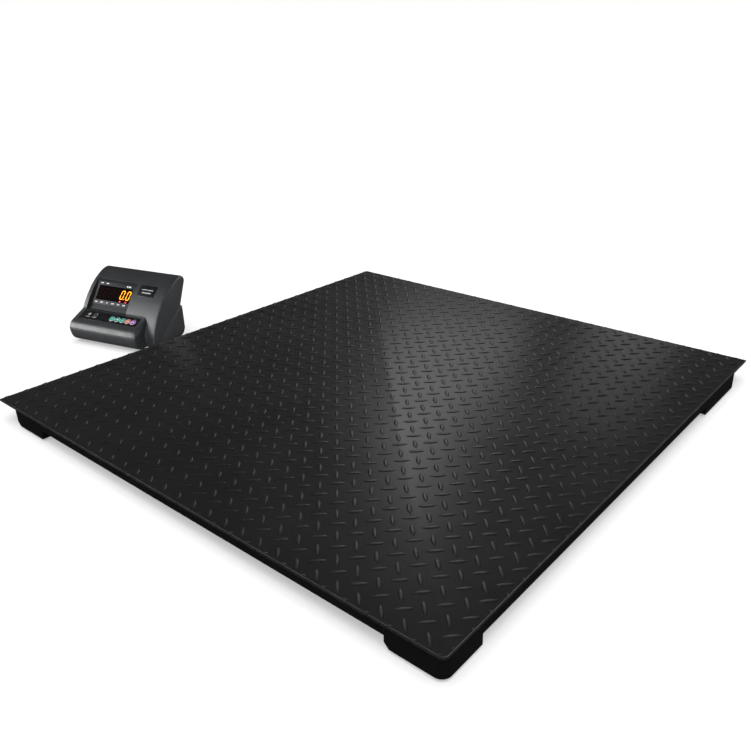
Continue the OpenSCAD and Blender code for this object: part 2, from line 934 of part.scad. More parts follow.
// rocker switch: a bezelled body with side cheeks that carry the rocker's pin
module switch_body() {
    color([0.08, 0.08, 0.08])
        place_indicator()
            translate([switch_at[0], back_y, switch_at[1]])
                difference() {
                    union() {
                        slab(-9.8, 9.8, -14, 0.5, -13.8, 13.8);
                        slab(-12, 12, 0, 2, -16, 16);
                    }
                    slab(-7, 7, -9, 3, -11, 11);
                    translate([-9, -rocker_drop, 0])
                        rotate([0, 90, 0])
                            cylinder(r = 1.55, h = 18, $fn = 32);
                }
}

module switch_rocker() {
    color([0.7, 0.1, 0.08])
        place_indicator()
            translate([switch_at[0], back_y - rocker_drop, switch_at[1]]) {
                side_prism([
                    [0, -8.6], [4.5, -9], [6, -2], [6, 2], [7.2, 8.4], [3.2, 9.2], [-2, 5], [-3, 0],
                    [-2, -5]
                ], -6.6, 6.6);
                translate([-8.8, 0, 0])
                    rotate([0, 90, 0])
                        cylinder(r = 1.5, h = 17.6, $fn = 32);
            }
}

// strain-relief bush for the mains lead, with its cable bore
module power_inlet() {
    color([0.07, 0.07, 0.07])
        place_indicator()
            translate([switch_at[0], 162, 26])
                rotate([-90, 0, 0])
                    difference() {
                        union() {
                            translate([0, 0, -6])
                                cylinder(r = 6, h = 6 + eps, $fn = 32);
                            cylinder(r = 8, h = 3, $fn = 32);
                            translate([0, 0, 3 - eps])
                                cylinder(r1 = 6.5, r2 = 4.5, h = 14, $fn = 32);
                        }
                        translate([0, 0, -7])
                            cylinder(r = lead_r, h = 30, $fn = 32);
                    }
}

deck_plate();
front_skirt();
right_skirt();
far_rail();
left_rail();
rib(0);  // rib_1
rib(1);  // rib_2
rib(2);  // rib_3
rib(3);  // rib_4
front_housing();
right_housing();
rear_housing();
left_housing();
cell_plates();
at_corner("front") load_cell();  // front_load_cell
at_corner("right") load_cell();  // right_load_cell
at_corner("rear") load_cell();  // rear_load_cell
at_corner("left") load_cell();  // left_load_cell
cell_bolts();
cell_glands();
cell_cables();
cable_clips();
foot_locknuts();
foot_stem("front");  // front_foot_stem
foot_stem("right");  // right_foot_stem
foot_stem("rear");  // rear_foot_stem
foot_stem("left");  // left_foot_stem
foot_pad("front");  // front_foot_pad
foot_pad("right");  // right_foot_pad
foot_pad("rear");  // rear_foot_pad
foot_pad("left");  // left_foot_pad
junction_box();
junction_lid();
junction_screws();
junction_board();
junction_glands();
upper_shell();
lower_shell();
display_bezel();
display_window();
digit_modules();
display_board();
nameplate();
keypad_overlay();
key(1);  // key_1
key(2);  // key_2
key(3);  // key_3
key(4);  // key_4
key(5);  // key_5
keypad_board();
main_board();
rear_sockets();
transformer();
battery();
battery_cover();
case_feet();
case_screws();
switch_body();
switch_rocker();
power_inlet();
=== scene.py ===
"""Pallet scale: black tread-plate platform with its desk-top weighing indicator."""
import json
import math

import bmesh
import bpy
from mathutils import Matrix, Vector

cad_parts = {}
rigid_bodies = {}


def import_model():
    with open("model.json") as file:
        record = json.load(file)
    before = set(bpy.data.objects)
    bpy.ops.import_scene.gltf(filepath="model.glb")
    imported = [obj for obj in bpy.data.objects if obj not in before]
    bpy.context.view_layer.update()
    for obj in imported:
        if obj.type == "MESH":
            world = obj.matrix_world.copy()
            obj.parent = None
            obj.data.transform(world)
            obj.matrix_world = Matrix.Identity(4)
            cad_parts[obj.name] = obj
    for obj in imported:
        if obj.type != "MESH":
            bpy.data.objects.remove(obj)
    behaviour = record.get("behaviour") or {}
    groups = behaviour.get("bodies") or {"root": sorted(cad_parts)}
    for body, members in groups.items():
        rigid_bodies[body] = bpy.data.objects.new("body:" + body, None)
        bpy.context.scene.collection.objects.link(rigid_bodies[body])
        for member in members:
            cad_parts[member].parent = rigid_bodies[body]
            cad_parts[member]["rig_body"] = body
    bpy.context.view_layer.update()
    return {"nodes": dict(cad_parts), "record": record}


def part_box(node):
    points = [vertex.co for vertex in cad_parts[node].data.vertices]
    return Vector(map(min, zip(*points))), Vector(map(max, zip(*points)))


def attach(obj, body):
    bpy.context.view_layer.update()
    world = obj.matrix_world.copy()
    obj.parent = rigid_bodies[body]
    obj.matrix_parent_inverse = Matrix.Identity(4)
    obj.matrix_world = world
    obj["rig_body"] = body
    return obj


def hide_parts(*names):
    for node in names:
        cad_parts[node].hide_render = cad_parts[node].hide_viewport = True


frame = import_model()
MM = 0.001
CASE_BODIES = {"indicator", "battery_cover", "rocker", "key_1", "key_2", "key_3", "key_4", "key_5"}

# ------------------------ sizes, in metres
DECK_LOW, DECK_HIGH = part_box("deck_plate")
HALF = DECK_HIGH.x                      # half the deck's side
DECK_T = DECK_HIGH.z - DECK_LOW.z
DECK_CORNER_R = 10 * MM
FLOOR_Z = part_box("front_foot_pad")[0].z

# rolled treads: two square lattices, one tread direction on each
TREAD_PITCH_X = 41.5 * MM
TREAD_PITCH_Y = 43.3 * MM
TREAD_L = 33 * MM
TREAD_W = 9.4 * MM
TREAD_H = 1.3 * MM
TREAD_SINK = 0.3 * MM                   # how far a tread's underside lies in the plate
TREAD_MARGIN = 1.3 * MM                 # how far inside the deck's edge the treads are cut off
TREAD_STARTS = ((16, 38), (35, 14))     # first tread of each lattice from the front corner, mm

# indicator: the same frame and outlines as its solids, in millimetres
IND_X, IND_Y, IND_TURN = -0.8, -0.15, math.radians(15)
CASE_D = 184
CASE_X = 130
NOSE_X1 = 98
POCKET_FOOT, POCKET_HEAD = (66, 79), (120, 148)
POCKET_X0, POCKET_X1 = -116, 23
LEDGE_FOOT, LEDGE_REAR = (16, 62), (60, 81.3)
BEZEL_X, BEZEL_W, BEZEL_AT, BEZEL_L = -44, 130, 15, 67
WINDOW_W, WINDOW_L, WINDOW_AT = 117, 42, 48.5
DIGIT_PITCH, DIGIT_W, DIGIT_L = 20.2, 10.0, 23.5
KEY_X0, KEY_PITCH, KEY_R = -6, 17.8, 8.5
OVERLAY_X0, OVERLAY_X1, OVERLAY_AT, OVERLAY_L = -114, 81, 7, 32
PANEL_X, PANEL_Y = (38, 94), (52, 86)
BACK_Y = 162
SOCKETS = ((-92, 39, 8, 7), (-42, 31, 5, 4))  # middle, flange width, pins in the two rows
SOCKET_Z = 46
SWITCH_X, SWITCH_Z, ROCKER_DROP = 96, 58, 3.5
LEAD_Z, LEAD_R = 26, 3.2
HATCH_Y, HATCH_W, HATCH_L = 104, 108, 52
SCREW_PLACES = ((-121, 62), (121, 62), (-121, 146), (121, 146))
FOOT_PLACES = ((-104, 58), (104, 58), (-104, 128), (104, 128))

# camera: where the photographer stood
CAM_AT = Vector((1.021, -1.188, 0.724))
CAM_AZIMUTH, CAM_ELEVATION, CAM_ROLL = math.radians(39.7), math.radians(24.58), math.radians(0.75)
CAM_LENS, CAM_SHIFT_X = 36.46, -0.0326


# ------------------------ materials
def new_material(name):
    mat = bpy.data.materials.new(name)
    mat.use_nodes = True
    tree = mat.node_tree
    return mat, tree, tree.nodes["Principled BSDF"]


def feed(tree, node, **values):
    """Links or sets a node's inputs and sets its properties; _ stands for a space in an input's name."""
    for key, value in values.items():
        socket = node.inputs.get(key.replace("_", " "))
        if socket is None:
            setattr(node, key, value)
        elif isinstance(value, bpy.types.NodeSocket):
            tree.links.new(value, socket)
        else:
            socket.default_value = value
    return node


def add(tree, kind, **values):
    return feed(tree, tree.nodes.new(kind), **values)


def noise(tree, scale, detail=3.0, rough=0.5):
    coord = add(tree, "ShaderNodeTexCoord")
    tex = add(tree, "ShaderNodeTexNoise", Scale=scale, Detail=detail, Roughness=rough,
              Vector=coord.outputs["Object"])
    return tex.outputs["Fac"]


def spread(tree, fac, low, high, lo_at=0.35, hi_at=0.65):
    """Maps a 0-1 value from lo_at..hi_at to low..high."""
    node = add(tree, "ShaderNodeMapRange", Value=fac, From_Min=lo_at, From_Max=hi_at, To_Min=low,
               To_Max=high)
    return node.outputs["Result"]


def blend(tree, fac, first, second):
    return add(tree, "ShaderNodeMix", data_type="RGBA", A=first, B=second, Factor=fac).outputs["Result"]


def two_tone(tree, fac, dark, light):
    return blend(tree, fac, (*dark, 1), (*light, 1))


def bump(tree, height, distance, strength=1.0, normal=None):
    node = add(tree, "ShaderNodeBump", Strength=strength, Distance=distance, Height=height)
    if normal is not None:
        feed(tree, node, Normal=normal)
    return node.outputs["Normal"]


def bevel_normal(tree, radius):
    return add(tree, "ShaderNodeBevel", samples=4, Radius=radius).outputs["Normal"]


def surface(name, dark, light, rough, rough_var=0.05, tone_scale=40.0, grain_scale=900.0,
            grain_depth=0.00004, specular=0.5, coat=0.0):
    """The common finish: mottled colour, uneven gloss and a fine grain."""
    mat, tree, bsdf = new_material(name)
    tone = noise(tree, tone_scale, detail=5)
    feed(tree, bsdf, Base_Color=two_tone(tree, spread(tree, tone, 0, 1), dark, light),
         Roughness=spread(tree, tone, rough - rough_var, rough + rough_var),
         Specular_IOR_Level=specular, Coat_Weight=coat,
         Normal=bump(tree, noise(tree, grain_scale, detail=2), grain_depth))
    return mat


def edge_wear_and_highlight(tree, tone, worn_and_lit, radius, least=0.0):
    """Mixes a lighter colour in along edges, in uneven patches that go down to least: part worn paint, part
    a painted edge highlight.
    """
    flat = add(tree, "ShaderNodeNewGeometry")
    dot = add(tree, "ShaderNodeVectorMath", operation="DOT_PRODUCT")
    tree.links.new(bevel_normal(tree, radius), dot.inputs[0])
    tree.links.new(flat.outputs["Normal"], dot.inputs[1])
    edge = spread(tree, dot.outputs["Value"], 1.0, 0.0, 0.90, 0.995)
    patch = spread(tree, noise(tree, 35.0, detail=6, rough=0.65), least, 1.0, 0.35, 0.6)
    amount = add(tree, "ShaderNodeMath", operation="MULTIPLY")
    tree.links.new(edge, amount.inputs[0])
    tree.links.new(patch, amount.inputs[1])
    return blend(tree, amount.outputs["Value"], tone, (*worn_and_lit, 1))


PEEL_DEPTH = 0.00003
# reach of the deck's lighter edges, part worn paint and part painted highlight; the frame's edges use the
# round radius for both
WEAR_AND_HIGHLIGHT_RADIUS, ROUND_RADIUS = 2.5 * MM, 1.2 * MM


def deck_paint(name, rough, lit_worn_edges):
    """Satin black stoving paint: faint orange peel, dusty patches and a slow change of gloss."""
    mat, tree, bsdf = new_material(name)
    dust = noise(tree, 5.0, detail=8, rough=0.6)
    tone = two_tone(tree, spread(tree, dust, 0, 1, 0.3, 0.75),
                    (0.0065, 0.0065, 0.0068), (0.0095, 0.0095, 0.0098))
    # lighter edges: part worn paint, part a painted highlight along the deck's edges
    if lit_worn_edges:
        tone = edge_wear_and_highlight(tree, tone, (0.11, 0.11, 0.11), WEAR_AND_HIGHLIGHT_RADIUS, 0.4)
    peel = bump(tree, noise(tree, 260.0), PEEL_DEPTH)
    feed(tree, bsdf, Base_Color=tone, Specular_IOR_Level=0.5,
         Roughness=spread(tree, dust, rough - 0.035, rough + 0.035, 0.3, 0.7),
         Normal=bump(tree, noise(tree, 9.0, detail=2), 0.0006, normal=peel))
    return mat


def frame_paint():
    """The underframe's thinner coat: darker and duller, and lighter along its edges, part scuffs and part a
    painted edge highlight.
    """
    mat, tree, bsdf = new_material("frame_paint")
    tone = noise(tree, 12.0, detail=5)
    coat = two_tone(tree, spread(tree, tone, 0, 1), (0.0042, 0.0042, 0.0044), (0.0068, 0.0068, 0.0071))
    round_edges = bevel_normal(tree, ROUND_RADIUS)
    feed(tree, bsdf, Base_Color=edge_wear_and_highlight(tree, coat, (0.03, 0.03, 0.03), ROUND_RADIUS),
         Roughness=spread(tree, tone, 0.45, 0.55), Specular_IOR_Level=0.16,
         Normal=bump(tree, noise(tree, 300.0, detail=2), PEEL_DEPTH, normal=round_edges))
    return mat


def case_plastic(name, dark, light, specular=0.75):
    """Spark-textured moulded plastic: a fine even grain with paler specks."""
    mat, tree, bsdf = new_material(name)
    specks = noise(tree, 1500.0, detail=2, rough=0.7)
    feed(tree, bsdf, Base_Color=two_tone(tree, spread(tree, specks, 0, 1, 0.42, 0.68), dark, light),
         Roughness=spread(tree, noise(tree, 30.0), 0.42, 0.5), Specular_IOR_Level=specular,
         Normal=bump(tree, specks, 0.00004, 0.6))
    return mat


def glowing(name, color, strength, base=(0.02, 0.004, 0.002)):
    mat, tree, bsdf = new_material(name)
    lighter = tuple(1.3 * c for c in base)
    feed(tree, bsdf, Base_Color=two_tone(tree, noise(tree, 300.0), base, lighter), Roughness=0.4,
         Emission_Color=(*color, 1), Emission_Strength=strength)
    return mat


def brushed(name, dark, light, rough):
    """Machined or brushed metal: the grain runs along the part's length."""
    mat, tree, bsdf = new_material(name)
    coord = add(tree, "ShaderNodeTexCoord")
    stretch = add(tree, "ShaderNodeMapping", Vector=coord.outputs["Object"], Scale=(1400, 40, 1400))
    tex = add(tree, "ShaderNodeTexNoise", Scale=1.0, Detail=4.0, Vector=stretch.outputs["Vector"])
    grain = tex.outputs["Fac"]
    feed(tree, bsdf, Base_Color=two_tone(tree, grain, dark, light), Metallic=1.0,
         Roughness=spread(tree, grain, rough - 0.06, rough + 0.08), Normal=bump(tree, grain, 0.00002))
    return mat


BLACK_FILM = (0.004, 0.004, 0.0045), (0.007, 0.007, 0.0075)
FILM_GRAIN = {"tone_scale": 60, "grain_scale": 3000, "grain_depth": 0.00001}
KEY_GRAIN = {"tone_scale": 150, "grain_scale": 2500, "grain_depth": 0.00001}
BEZEL_GRAIN = {"tone_scale": 90, "grain_scale": 2500, "grain_depth": 0.00002, "specular": 0.3}
WINDOW_GLOSS = {"rough_var": 0.02, "tone_scale": 30, "grain_depth": 0.000002, "coat": 0.6}

# dark and light tone, roughness, and what differs from the common finish
SURFACES = {
    "pad_rubber": ((0.012, 0.012, 0.012), (0.022, 0.022, 0.022), 0.6, {}),
    "cable_black": ((0.012, 0.012, 0.012), (0.02, 0.02, 0.02), 0.45, {}),
    "clip_plastic": ((0.6, 0.6, 0.56), (0.7, 0.7, 0.66), 0.45, {}),
    "gland_black": ((0.012, 0.012, 0.012), (0.02, 0.02, 0.02), 0.4, {}),
    "board_green": ((0.012, 0.075, 0.035), (0.02, 0.12, 0.05), 0.35, {"tone_scale": 250}),
    "bezel_grey": ((0.009, 0.0105, 0.012), (0.012, 0.0138, 0.016), 0.4, BEZEL_GRAIN),
    "window_red": ((0.003, 0.0006, 0.0007), (0.005, 0.0009, 0.001), 0.1, WINDOW_GLOSS),
    "overlay_black": (*BLACK_FILM, 0.32, FILM_GRAIN),
    "plate_black": (*BLACK_FILM, 0.35, FILM_GRAIN),
    "key_teal": ((0.018, 0.25, 0.20), (0.026, 0.31, 0.25), 0.35, KEY_GRAIN),
    "key_orange": ((0.52, 0.085, 0.025), (0.60, 0.11, 0.035), 0.35, KEY_GRAIN),
    "key_purple": ((0.26, 0.045, 0.33), (0.32, 0.06, 0.40), 0.35, KEY_GRAIN),
    "key_rim": ((0.42, 0.43, 0.43), (0.52, 0.53, 0.53), 0.4, {"tone_scale": 150}),
    "print_white": ((0.66, 0.67, 0.68), (0.78, 0.79, 0.8), 0.45, {"tone_scale": 400}),
    "print_grey": ((0.30, 0.31, 0.32), (0.38, 0.39, 0.40), 0.45, {"tone_scale": 400}),
    "transformer_core": ((0.10, 0.08, 0.06), (0.16, 0.13, 0.1), 0.5, {}),
    "battery_case": ((0.03, 0.03, 0.036), (0.045, 0.045, 0.05), 0.45, {}),
    "foot_rubber": ((0.01, 0.01, 0.01), (0.018, 0.018, 0.018), 0.65, {}),
    "switch_black": ((0.008, 0.008, 0.008), (0.014, 0.014, 0.014), 0.3, {}),
    "rocker_red": ((0.35, 0.012, 0.008), (0.45, 0.02, 0.014), 0.22, {"coat": 0.3}),
    "digit_red": ((0.03, 0.004, 0.004), (0.05, 0.006, 0.006), 0.3, {}),
}
METALS = {
    "cell_metal": ((0.55, 0.56, 0.58), (0.75, 0.76, 0.78), 0.32),
    "bolt_zinc": ((0.48, 0.49, 0.5), (0.66, 0.66, 0.68), 0.3),
    "box_steel": ((0.4, 0.41, 0.43), (0.55, 0.56, 0.58), 0.34),
    "socket_metal": ((0.55, 0.55, 0.56), (0.7, 0.7, 0.72), 0.25),
    "pin_gold": ((0.72, 0.50, 0.20), (0.85, 0.62, 0.28), 0.22),
}
# colour and strength of the light
GLOWS = {
    "led_core": ((1.0, 0.52, 0.02), 2.6),
    "led_mid": ((1.0, 0.16, 0.01), 1.5),
    "led_fringe": ((0.8, 0.02, 0.01), 0.35),
    # unlit segments: a faint emission, a painted glow
    "led_off": ((0.5, 0.02, 0.01), 0.03, (0.045, 0.006, 0.005)),
    "lamp_on": ((1.0, 0.06, 0.10), 3.0),
}

MATS = {
    "deck_paint": deck_paint("deck_paint", 0.295, True),
    "tread_paint": deck_paint("tread_paint", 0.33, False),
    "frame_paint": frame_paint(),
    "case_upper": case_plastic("case_upper", (0.0105, 0.0116, 0.0126), (0.031, 0.034, 0.0368)),
    "case_lower": case_plastic("case_lower", (0.010, 0.011, 0.0118), (0.030, 0.0325, 0.035)),
    # the recess floor: a darker colour as painted shade, and less specular
    "case_pocket_shade": case_plastic("case_pocket_shade", (0.005, 0.0057, 0.0062), (0.012, 0.0135, 0.015), 0.25),
}
for name, (dark, light, rough, extra) in SURFACES.items():
    MATS[name] = surface(name, dark, light, rough, **extra)
for name, values in METALS.items():
    MATS[name] = brushed(name, *values)
for name, values in GLOWS.items():
    MATS[name] = glowing(name, *values)


# ------------------------ mesh helpers
SHARP_ANGLE = math.radians(35)


def in_scene(name, data):
    obj = bpy.data.objects.new(name, data)
    bpy.context.scene.collection.objects.link(obj)
    return obj


def piece(name, bm, mat, body, replaces=()):
    """Makes the finished object from a bmesh and puts it on its body."""
    bmesh.ops.remove_doubles(bm, verts=bm.verts, dist=1e-6)
    bmesh.ops.recalc_face_normals(bm, faces=bm.faces)
    mesh = bpy.data.meshes.new(name)
    bm.to_mesh(mesh)
    bm.free()
    obj = in_scene(name, mesh)
    for m in [mat] if isinstance(mat, str) else mat:
        mesh.materials.append(MATS[m])
    mesh.shade_smooth()
    mesh.set_sharp_from_angle(angle=SHARP_ANGLE)
    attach(obj, body)
    if replaces:
        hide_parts(*replaces)
    return obj


def rounded_rect(w, l, r, steps=6):
    """Outline points of a rectangle with round corners, centred on the origin."""
    pts = []
    for cx, cy, a0 in ((1, 1, 0), (-1, 1, 90), (-1, -1, 180), (1, -1, 270)):
        for k in range(steps + 1):
            a = math.radians(a0 + 90 * k / steps)
            pts.append((cx * (w / 2 - r) + r * math.cos(a), cy * (l / 2 - r) + r * math.sin(a)))
    return pts


def circle(r, n=48, squash=1.0):
    turns = [2 * math.pi * k / n for k in range(n)]
    return [(r * math.cos(a), squash * r * math.sin(a)) for a in turns]


def edge_normals(pts):
    """Unit outward vectors at each point of a closed outline that runs anticlockwise."""
    out = []
    n = len(pts)
    for i in range(n):
        a, b, c = Vector(pts[i - 1]), Vector(pts[i]), Vector(pts[(i + 1) % n])
        u, v = (b - a).normalized(), (c - b).normalized()
        m = Vector((u.y + v.y, -u.x - v.x))
        cos_half = max(m.length / 2, 0.35)
        out.append(m.normalized() / cos_half)
    return out


def area(pts):
    return sum(a[0] * b[1] - b[0] * a[1] for a, b in zip(pts, pts[1:] + pts[:1])) / 2


def soft_prism(pts, z0, z1, r0=0.0, r1=0.0, steps=4, crown=0.0, spans=1):
    """A prism on an outline, from z0 to z1, whose bottom and top edges are rounded by r0 and r1.
    crown raises the middle of the top, and spans cuts the sides into that many rings."""
    pts = [tuple(p) for p in pts]
    if area(pts) < 0:
        pts.reverse()
    out = edge_normals(pts)
    levels = []
    for r, z, way in ((r0, z0, 1), (r1, z1, -1)):
        ring = []
        for k in range(steps + 1 if r else 1):
            a = math.pi / 2 * k / steps
            ring.append((r * (1 - math.sin(a)), z + way * r * (1 - math.cos(a))))
        levels += ring if way > 0 else ring[::-1]
        if way > 0:
            levels += [(0, z0 + r0 + (z1 - z0 - r0 - r1) * k / spans) for k in range(1, spans)]
    bm = bmesh.new()
    rings = []
    for d, z in levels:
        rings.append([bm.verts.new((p[0] - o.x * d, p[1] - o.y * d, z)) for p, o in zip(pts, out)])
    n = len(pts)
    for low, high in zip(rings, rings[1:]):
        for i in range(n):
            bm.faces.new((low[i], low[(i + 1) % n], high[(i + 1) % n], high[i]))
    bm.faces.new(rings[0][::-1])
    if crown:
        mid = bm.verts.new((sum(p[0] for p in pts) / n, sum(p[1] for p in pts) / n, z1 + crown))
        inner = []
        for v in rings[-1]:
            co = mid.co.lerp(v.co, 0.55)
            co.z = z1 + crown * 0.72
            inner.append(bm.verts.new(co))
        for i in range(n):
            j = (i + 1) % n
            bm.faces.new((rings[-1][i], rings[-1][j], inner[j], inner[i]))
            bm.faces.new((inner[i], inner[j], mid))
    else:
        bm.faces.new(rings[-1])
    return bm


def moved(bm, matrix):
    bm.transform(matrix)
    if matrix.determinant() < 0:
        bmesh.ops.reverse_faces(bm, faces=bm.faces)
    return bm


def placed(bm, x, y):
    return moved(bm, Matrix.Translation((x, y, 0)))


def joined(*parts):
    """One bmesh from several."""
    bm = bmesh.new()
    for part in parts:
        mesh = bpy.data.meshes.new("part")
        part.to_mesh(mesh)
        part.free()
        bm.from_mesh(mesh)
        bpy.data.meshes.remove(mesh)
    return bm


def temp_object(bm):
    mesh = bpy.data.meshes.new("tool")
    bmesh.ops.recalc_face_normals(bm, faces=bm.faces)
    bm.to_mesh(mesh)
    bm.free()
    return in_scene("tool", mesh)


def boolean(bm, *steps, bevel=0.0):
    """Applies (operation, bmesh) steps to bm, then an edge bevel, and returns the result."""
    obj = temp_object(bm)
    tools = []
    for operation, other in steps:
        tool = temp_object(other)
        tools.append(tool)
        mod = obj.modifiers.new("bool", "BOOLEAN")
        mod.operation, mod.object, mod.solver = operation, tool, "EXACT"
    if bevel:
        mod = obj.modifiers.new("bevel", "BEVEL")
        mod.width, mod.segments, mod.limit_method = bevel, 2, "ANGLE"
        mod.angle_limit = math.radians(40)
        mod.use_clamp_overlap = True
    bpy.context.view_layer.update()
    graph = bpy.context.evaluated_depsgraph_get()
    result = bmesh.new()
    result.from_mesh(obj.evaluated_get(graph).to_mesh())
    for o in [obj, *tools]:
        mesh = o.data
        bpy.data.objects.remove(o)
        bpy.data.meshes.remove(mesh)
    return result


def block(x0, x1, y0, y1, z0, z1):
    bm = bmesh.new()
    bmesh.ops.create_cube(bm, size=1.0)
    bm.transform(Matrix.Translation(((x0 + x1) / 2, (y0 + y1) / 2, (z0 + z1) / 2))
                 @ Matrix.Diagonal((x1 - x0, y1 - y0, z1 - z0, 1)))
    return bm


def lathe(profile, n=40):
    """Turns a closed outline of (radius, height) points about Z; points on the axis are shared."""
    bm = bmesh.new()
    rings = []
    for r, z in profile:
        if r < 1e-6:
            rings.append([bm.verts.new((0, 0, z))] * n)
        else:
            rings.append([bm.verts.new((x, y, z)) for x, y in circle(r, n)])
    for a, b in zip(rings, rings[1:] + rings[:1]):
        for i in range(n):
            j = (i + 1) % n
            corners = [a[i], a[j], b[j], b[i]]
            unique = [v for k, v in enumerate(corners) if v not in corners[:k]]
            if len(unique) > 2:
                bm.faces.new(unique)
    bmesh.ops.recalc_face_normals(bm, faces=bm.faces)
    return bm


def rounded(r, z, size, steps=4):
    """Profile points of a rounded outer corner at radius r and height z, size > 0 for a top edge."""
    way = 1 if size > 0 else -1
    size = abs(size)
    return [(r - size + size * math.cos(a), z - way * size + way * size * math.sin(a))
            for a in [math.pi / 2 * k / steps for k in range(steps + 1)]]


# ------------------------ deck
def tread():
    """One lens-shaped tread along X: a pointed plan and a round back, closed underneath."""
    along, across = 10, 6
    bm = bmesh.new()
    rows = []
    for i in range(1, along):
        u = -1 + 2 * i / along
        half_w = TREAD_W / 2 * (1 - abs(u) ** 2.2)
        top = TREAD_H * (1 - abs(u) ** 3)
        row = []
        for j in range(across + 1):
            v = -1 + 2 * j / across
            z = -TREAD_SINK if abs(v) == 1 else top * (1 - abs(v) ** 3) ** 0.6
            row.append(bm.verts.new((u * TREAD_L / 2, v * half_w, z)))
        rows.append(row)
    tips = [bm.verts.new((s * TREAD_L / 2, 0, -TREAD_SINK)) for s in (-1, 1)]
    for a, b in zip(rows, rows[1:]):
        for j in range(across):
            bm.faces.new((a[j], b[j], b[j + 1], a[j + 1]))
        bm.faces.new((a[0], a[-1], b[-1], b[0]))
    for tip, row in ((tips[0], rows[0]), (tips[1], rows[-1])):
        for j in range(across):
            bm.faces.new((row[j], row[j + 1], tip))
        bm.faces.new((row[-1], row[0], tip))
    bmesh.ops.recalc_face_normals(bm, faces=bm.faces)
    return bm


def tread_places(lattice):
    """Centres of one lattice's treads, from the deck's front corner outwards."""
    dx, dy = TREAD_STARTS[lattice]
    count = int(2 * HALF / TREAD_PITCH_X) + 3
    for i in range(-1, count):
        for j in range(-1, count):
            yield HALF - i * TREAD_PITCH_X - dx * MM, -HALF + j * TREAD_PITCH_Y + dy * MM


def make_plate():
    r = DECK_CORNER_R
    outline = [(-HALF, -HALF)]
    for k in range(9):
        a = math.radians(-90 + 90 * k / 8)
        outline.append((HALF - r + r * math.cos(a), -HALF + r + r * math.sin(a)))
    outline += [(HALF, HALF), (-HALF, HALF)]
    plate = soft_prism(outline, -DECK_T, 0, r0=0.6 * MM, r1=0.8 * MM, steps=3)
    return piece("deck_sheet", plate, "deck_paint", "platform", ["deck_plate"])


def make_treads(lattice, turn):
    """One direction's treads; those that cross the deck's edge are cut off there."""
    one = tread()
    verts = [v.co.copy() for v in one.verts]
    one.verts.index_update()
    faces = [[v.index for v in f.verts] for f in one.faces]
    one.free()
    bm = bmesh.new()
    edge = HALF - TREAD_MARGIN
    for x, y in tread_places(lattice):
        if max(abs(x), abs(y)) > HALF + TREAD_L / 4:
            continue
        place = Matrix.Translation((x, y, 0)) @ Matrix.Rotation(turn, 4, "Z")
        made = [bm.verts.new(place @ co) for co in verts]
        for f in faces:
            bm.faces.new([made[i] for i in f])
    for sign in (-1, 1):
        for axis in (0, 1):
            at, no = Vector((0, 0, 0)), Vector((0, 0, 0))
            at[axis], no[axis] = sign * edge, sign
            cut = bmesh.ops.bisect_plane(bm, geom=bm.verts[:] + bm.edges[:] + bm.faces[:],
                                         plane_co=at, plane_no=no, clear_outer=True)
            rim = [g for g in cut["geom_cut"] if isinstance(g, bmesh.types.BMEdge)]
            bmesh.ops.holes_fill(bm, edges=rim, sides=0)
    return piece(f"treads_{lattice + 1}", bm, "tread_paint", "platform")


deck_top = [make_plate(), make_treads(0, math.pi / 4), make_treads(1, -math.pi / 4)]


# ------------------------ levelling feet
# in millimetres; the heights are from the floor
STEM_R, THREAD_DEPTH, THREAD_PITCH = 6.0, 0.85, 1.75
BALL_R, NECK_R, SOCKET_GAP = 3.8, 2.6, 0.05
NECK_TOP, THREAD_START = 9.0, 9.6
GROOVE_RADII = (5, 9, 13)


def arc(r, middle, start, end, steps=8):
    """Profile points on a circle round the axis, from one angle to another, in degrees."""
    turns = [math.radians(start + (end - start) * k / steps) for k in range(steps + 1)]
    return [(abs(r * math.cos(a)), middle + r * math.sin(a)) for a in turns]


